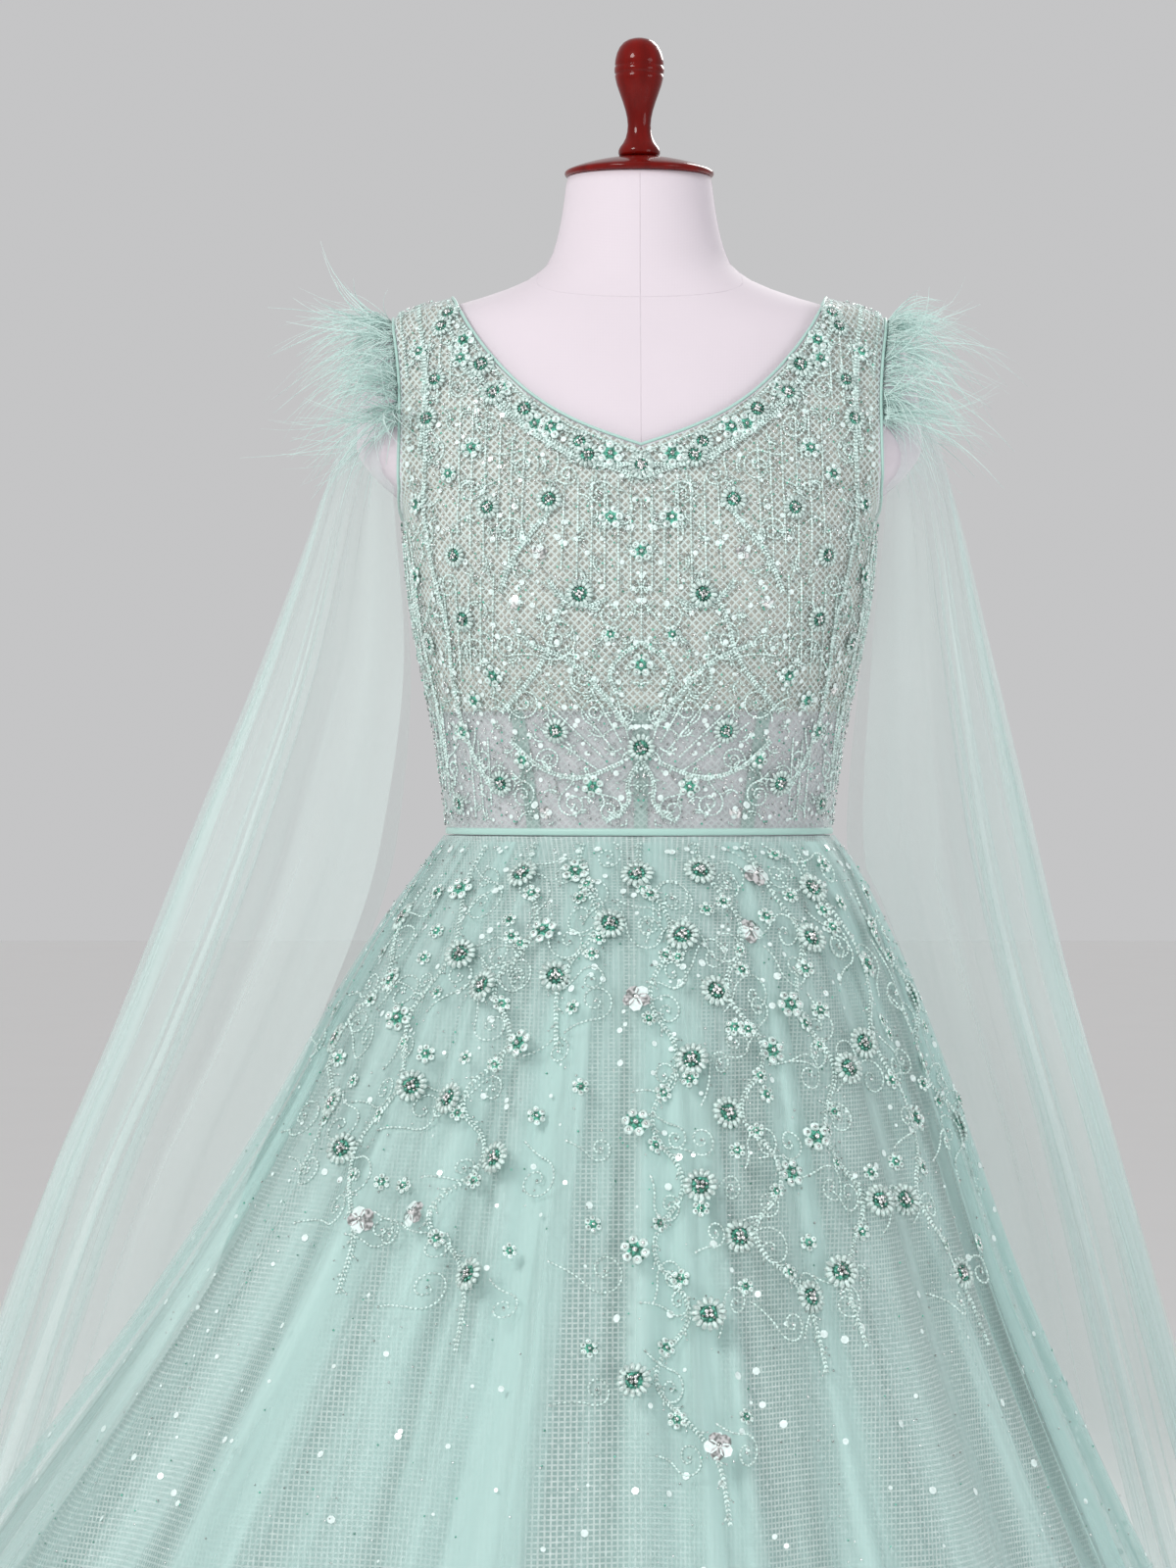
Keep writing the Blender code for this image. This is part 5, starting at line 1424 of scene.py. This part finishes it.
class DRESS_OT_bodice_beading(bpy.types.Operator):
    """Sew the flowers, scrolls, stems, rows and loose beads on the bodice"""
    bl_idname = "dress.bodice_beading"
    bl_label = "Bodice beading"

    def execute(self, context):
        sizes = context.scene.dress_sizes
        step = sizes.step
        shapes = bead_shapes()

        for back in (False, True):
            rng = np.random.default_rng(21 + back)
            cords, blooms, loose = {}, {}, {}
            for number, flower in enumerate(BODICE_FLOWERS):
                if back and (flower.across < 45 or number % 3 == 1):
                    continue
                way = math.radians(37.0 * number)
                put(blooms, flower.kind, (flower.across / 1000, flower.height / 1000),
                    (math.cos(way), math.sin(way)), 1.22 * flower.size / 1000)
            edge_x = np.linspace(0.0, NECK_TOP_X - 0.001, 60)
            for drop in NECK_STEMS:
                stem(cords, beside_centre(edge_x, neck_height(edge_x, back) - drop), step)
            neck = beside_centre(edge_x, neck_height(edge_x, back) - NECK_FLOWERS)
            places, ways = resampled(neck, NECK_FLOWER_STEP)
            for number, (spot, way) in enumerate(zip(places, ways)):
                put(blooms, ("loops", "round")[number % 2], spot, turned(way[None], 0.7 * number)[0],
                    0.0175 + 0.0015 * math.sin(2.3 * number))
            side_z = np.linspace(ARMHOLE_LOW, HOLE_STEM_TOP, 40)
            for inset in HOLE_STEMS:
                stem(cords, beside_centre(armhole_x(side_z) - inset, side_z), step)
            for number, item in enumerate(BODICE_SCROLLS):
                if back and (item.across < 40 or number % 3 == 1):
                    continue
                scroll(cords, (item.across / 1000, item.height / 1000), item.radius / 1000, item.start,
                       item.hand, item.tail / 1000, step)
            for number, row in enumerate(BODICE_ROWS):
                if back and (row.across < 40 or number % 2):
                    continue
                bead_row(cords, (row.across / 1000, row.height / 1000),
                         (row.low_across / 1000, row.low_height / 1000), step)
            for number, path in enumerate(BODICE_STEMS):
                if back and (path[0][0] < 30 or number % 3 == 1):
                    continue
                stem(cords, np.array(path) / 1000, step)
            for across in np.arange(6.0, 196.0, 19.0 if not back else 27.0):
                for height in np.arange(1086.0, 1432.0, 18.0 if not back else 26.0):
                    sprig(cords, (np.array((across, height)) + rng.uniform(-6.0, 6.0, 2)) / 1000,
                          rng.uniform(0.0, math.tau), rng.uniform(0.008, 0.013), step)
            area = BEADED_WIDE * BEADED_HIGH
            count = int(sizes.seeds_a_square * area / 0.01 * (0.45 if back else 1.0))
            spots = np.stack([
                rng.uniform(0.0, BEADED_WIDE, count), rng.uniform(BEADED_FROM, BEADED_TO, count),
            ], axis=1)
            turns = rng.uniform(0.0, math.tau, count)
            ways = heading(turns)
            for kind, start, end, small, large in (
                ("seed", 0.0, 0.56, 0.7, 1.1), ("sequin", 0.56, 0.68, 0.6, 1.1),
                ("green", 0.68, 0.84, 0.7, 1.0), ("leaf", 0.84, 1.0, 0.5, 0.8),
            ):
                part = slice(int(start * count), int(end * count))
                put(loose, kind, spots[part], ways[part], rng.uniform(small, large, len(spots[part])))

            def on_cloth(across, height, back=back):
                if back:
                    across = np.interp(height, MAP_HEIGHTS, MAP_LENGTHS[:, -1]) - across
                off = np.full(len(height), BEADING_OFF)
                return lifted(form_point, angle_at(across, height), height, off)

            where = "back" if back else "front"
            for name, work in (("cording", cords), ("flowers", blooms), ("loose_beads", loose)):
                parts = list(laid(work, on_cloth, shapes, lambda points: on_bodice(points, back)).values())
                both = parts + [mirrored(part) for part in parts]
                strewn(f"bodice_{name}_{where}", both, BEADWORK)
        return {"FINISHED"}


CORD_TOP, BLOOM_TOP, LOOSE_TOP, LOOSE_DROP, LOOSE_BEADS = 1.0715, 1.0640, 1.068, 0.80, 3600
LOOPS_WIDE, ROUND_WIDE = 0.0232, 0.0200


def skirt_ground(angle, height):
    """The outer tulle without its finest gathers, which the beading lies on."""
    return skirt_ring(angle, height, outer_folds(angle, height))


class DRESS_OT_skirt_beading(bpy.types.Operator):
    """Sew the flower sprays and the scattered beads on the skirt"""
    bl_idname = "dress.skirt_beading"
    bl_label = "Skirt beading"

    def execute(self, context):
        step = 1.25 * context.scene.dress_sizes.step
        shapes = bead_shapes()
        rng = np.random.default_rng(5)
        cords, blooms = [], []
        for number, spray in enumerate(SPRAYS):
            work, flowers = {}, {}
            centre = math.radians(spray.angle)

            def on_cloth(across, height, centre=centre):
                radius = 0.5 * (skirt["left"](height) + skirt["front"](height))
                return lifted(skirt_ground, centre + across / radius, height, np.full(len(height), 0.0007))

            heights = np.linspace(spray.top, spray.bottom, spray.number)
            radius = 0.5 * (skirt["left"](heights) + skirt["front"](heights))
            swing = math.radians(SPRAY_SWING) * np.where(np.arange(spray.number) % 2, 1.0, -1.0)
            spots = np.stack([swing * radius, heights], axis=1)
            first, last = spots[:1] + (0.004, 0.028), spots[-1:] + (0.006, -0.045)
            stem(work, np.concatenate([first, spots, last]), step)
            for index, spot in enumerate(spots):
                way = rng.uniform(0.0, math.tau)
                kind = ("loops", "round", "loops", "round", "loops", "loops", "small")[(index + number) % 7]
                put(flowers, kind, spot, (math.cos(way), math.sin(way)),
                    LOOPS_WIDE if kind == "loops" else ROUND_WIDE)
                for hand in (-1, 1):
                    middle = spot + (hand * rng.uniform(0.019, 0.028), rng.uniform(-0.020, 0.012))
                    scroll(work, middle, rng.uniform(0.008, 0.015), rng.uniform(60, 200) * hand, hand,
                           rng.uniform(0.012, 0.026), step, 1.4)
                    beside = spot + np.array((hand * rng.uniform(0.016, 0.034), rng.uniform(0.014, 0.028)))
                    put(flowers, "round", beside, (1.0, 0.0), rng.uniform(0.010, 0.014))
            cords += laid(work, on_cloth, shapes, lambda points: points[:, 2] < CORD_TOP).values()
            blooms += laid(flowers, on_cloth, shapes, lambda points: points[:, 2] < BLOOM_TOP).values()
        strewn("skirt_cording", cords, BEADWORK)
        strewn("skirt_flowers", blooms, BEADWORK)

        loose = {}
        count = LOOSE_BEADS
        angle = rng.uniform(-math.pi, math.pi, count)
        height = LOOSE_TOP - LOOSE_DROP * rng.uniform(0.0, 1.0, count) ** 1.5
        front = np.sin(angle) < 0.15
        kept = front | (rng.uniform(size=count) < 0.55)
        spots = np.stack([angle, height], axis=1)[kept]
        turns = rng.uniform(0.0, math.tau, len(spots))
        ways = heading(turns)
        for kind, start, end, small, large in (
            ("seed", 0.0, 0.48, 0.6, 1.0), ("green", 0.48, 0.70, 0.6, 0.9), ("sequin", 0.70, 1.0, 0.5, 1.4),
        ):
            part = slice(int(start * len(spots)), int(end * len(spots)))
            put(loose, kind, spots[part], ways[part], rng.uniform(small, large, len(spots[part])))
        parts = laid(loose, lambda a, z: lifted(skirt_ground, a, z, np.full(len(z), 0.0005)), shapes,
                     lambda points: np.ones(len(points), bool))
        strewn("skirt_loose_beads", list(parts.values()), BEADWORK)
        return {"FINISHED"}


class DRESS_PT_panel(bpy.types.Panel):
    """The dress's colours, sizes and pieces"""
    bl_idname = "DRESS_PT_panel"
    bl_label = "Beaded Tulle Dress"
    bl_space_type = "VIEW_3D"
    bl_region_type = "UI"
    bl_category = "Dress"

    def draw(self, context):
        for group in (context.scene.dress_colours, context.scene.dress_sizes):
            for name in group.bl_rna.properties.keys():
                if name not in ("rna_type", "name"):
                    self.layout.prop(group, name)
        for operator in OPERATORS:
            self.layout.operator(operator.bl_idname)


OPERATORS = (
    DRESS_OT_stage, DRESS_OT_form, DRESS_OT_bodice, DRESS_OT_trimmings, DRESS_OT_skirt, DRESS_OT_feathers,
    DRESS_OT_wings, DRESS_OT_bodice_beading, DRESS_OT_skirt_beading,
)
CLASSES = (DressColours, DressSizes, *OPERATORS, DRESS_PT_panel)


def register():
    for cls in CLASSES:
        bpy.utils.register_class(cls)
    bpy.types.Scene.dress_colours = bpy.props.PointerProperty(type=DressColours)
    bpy.types.Scene.dress_sizes = bpy.props.PointerProperty(type=DressSizes)


def unregister():
    del bpy.types.Scene.dress_sizes
    del bpy.types.Scene.dress_colours
    for cls in reversed(CLASSES):
        bpy.utils.unregister_class(cls)


def main():
    register()
    for operator in OPERATORS:
        getattr(bpy.ops.dress, operator.bl_idname.split(".")[1])()


if __name__ == "__main__":
    main()
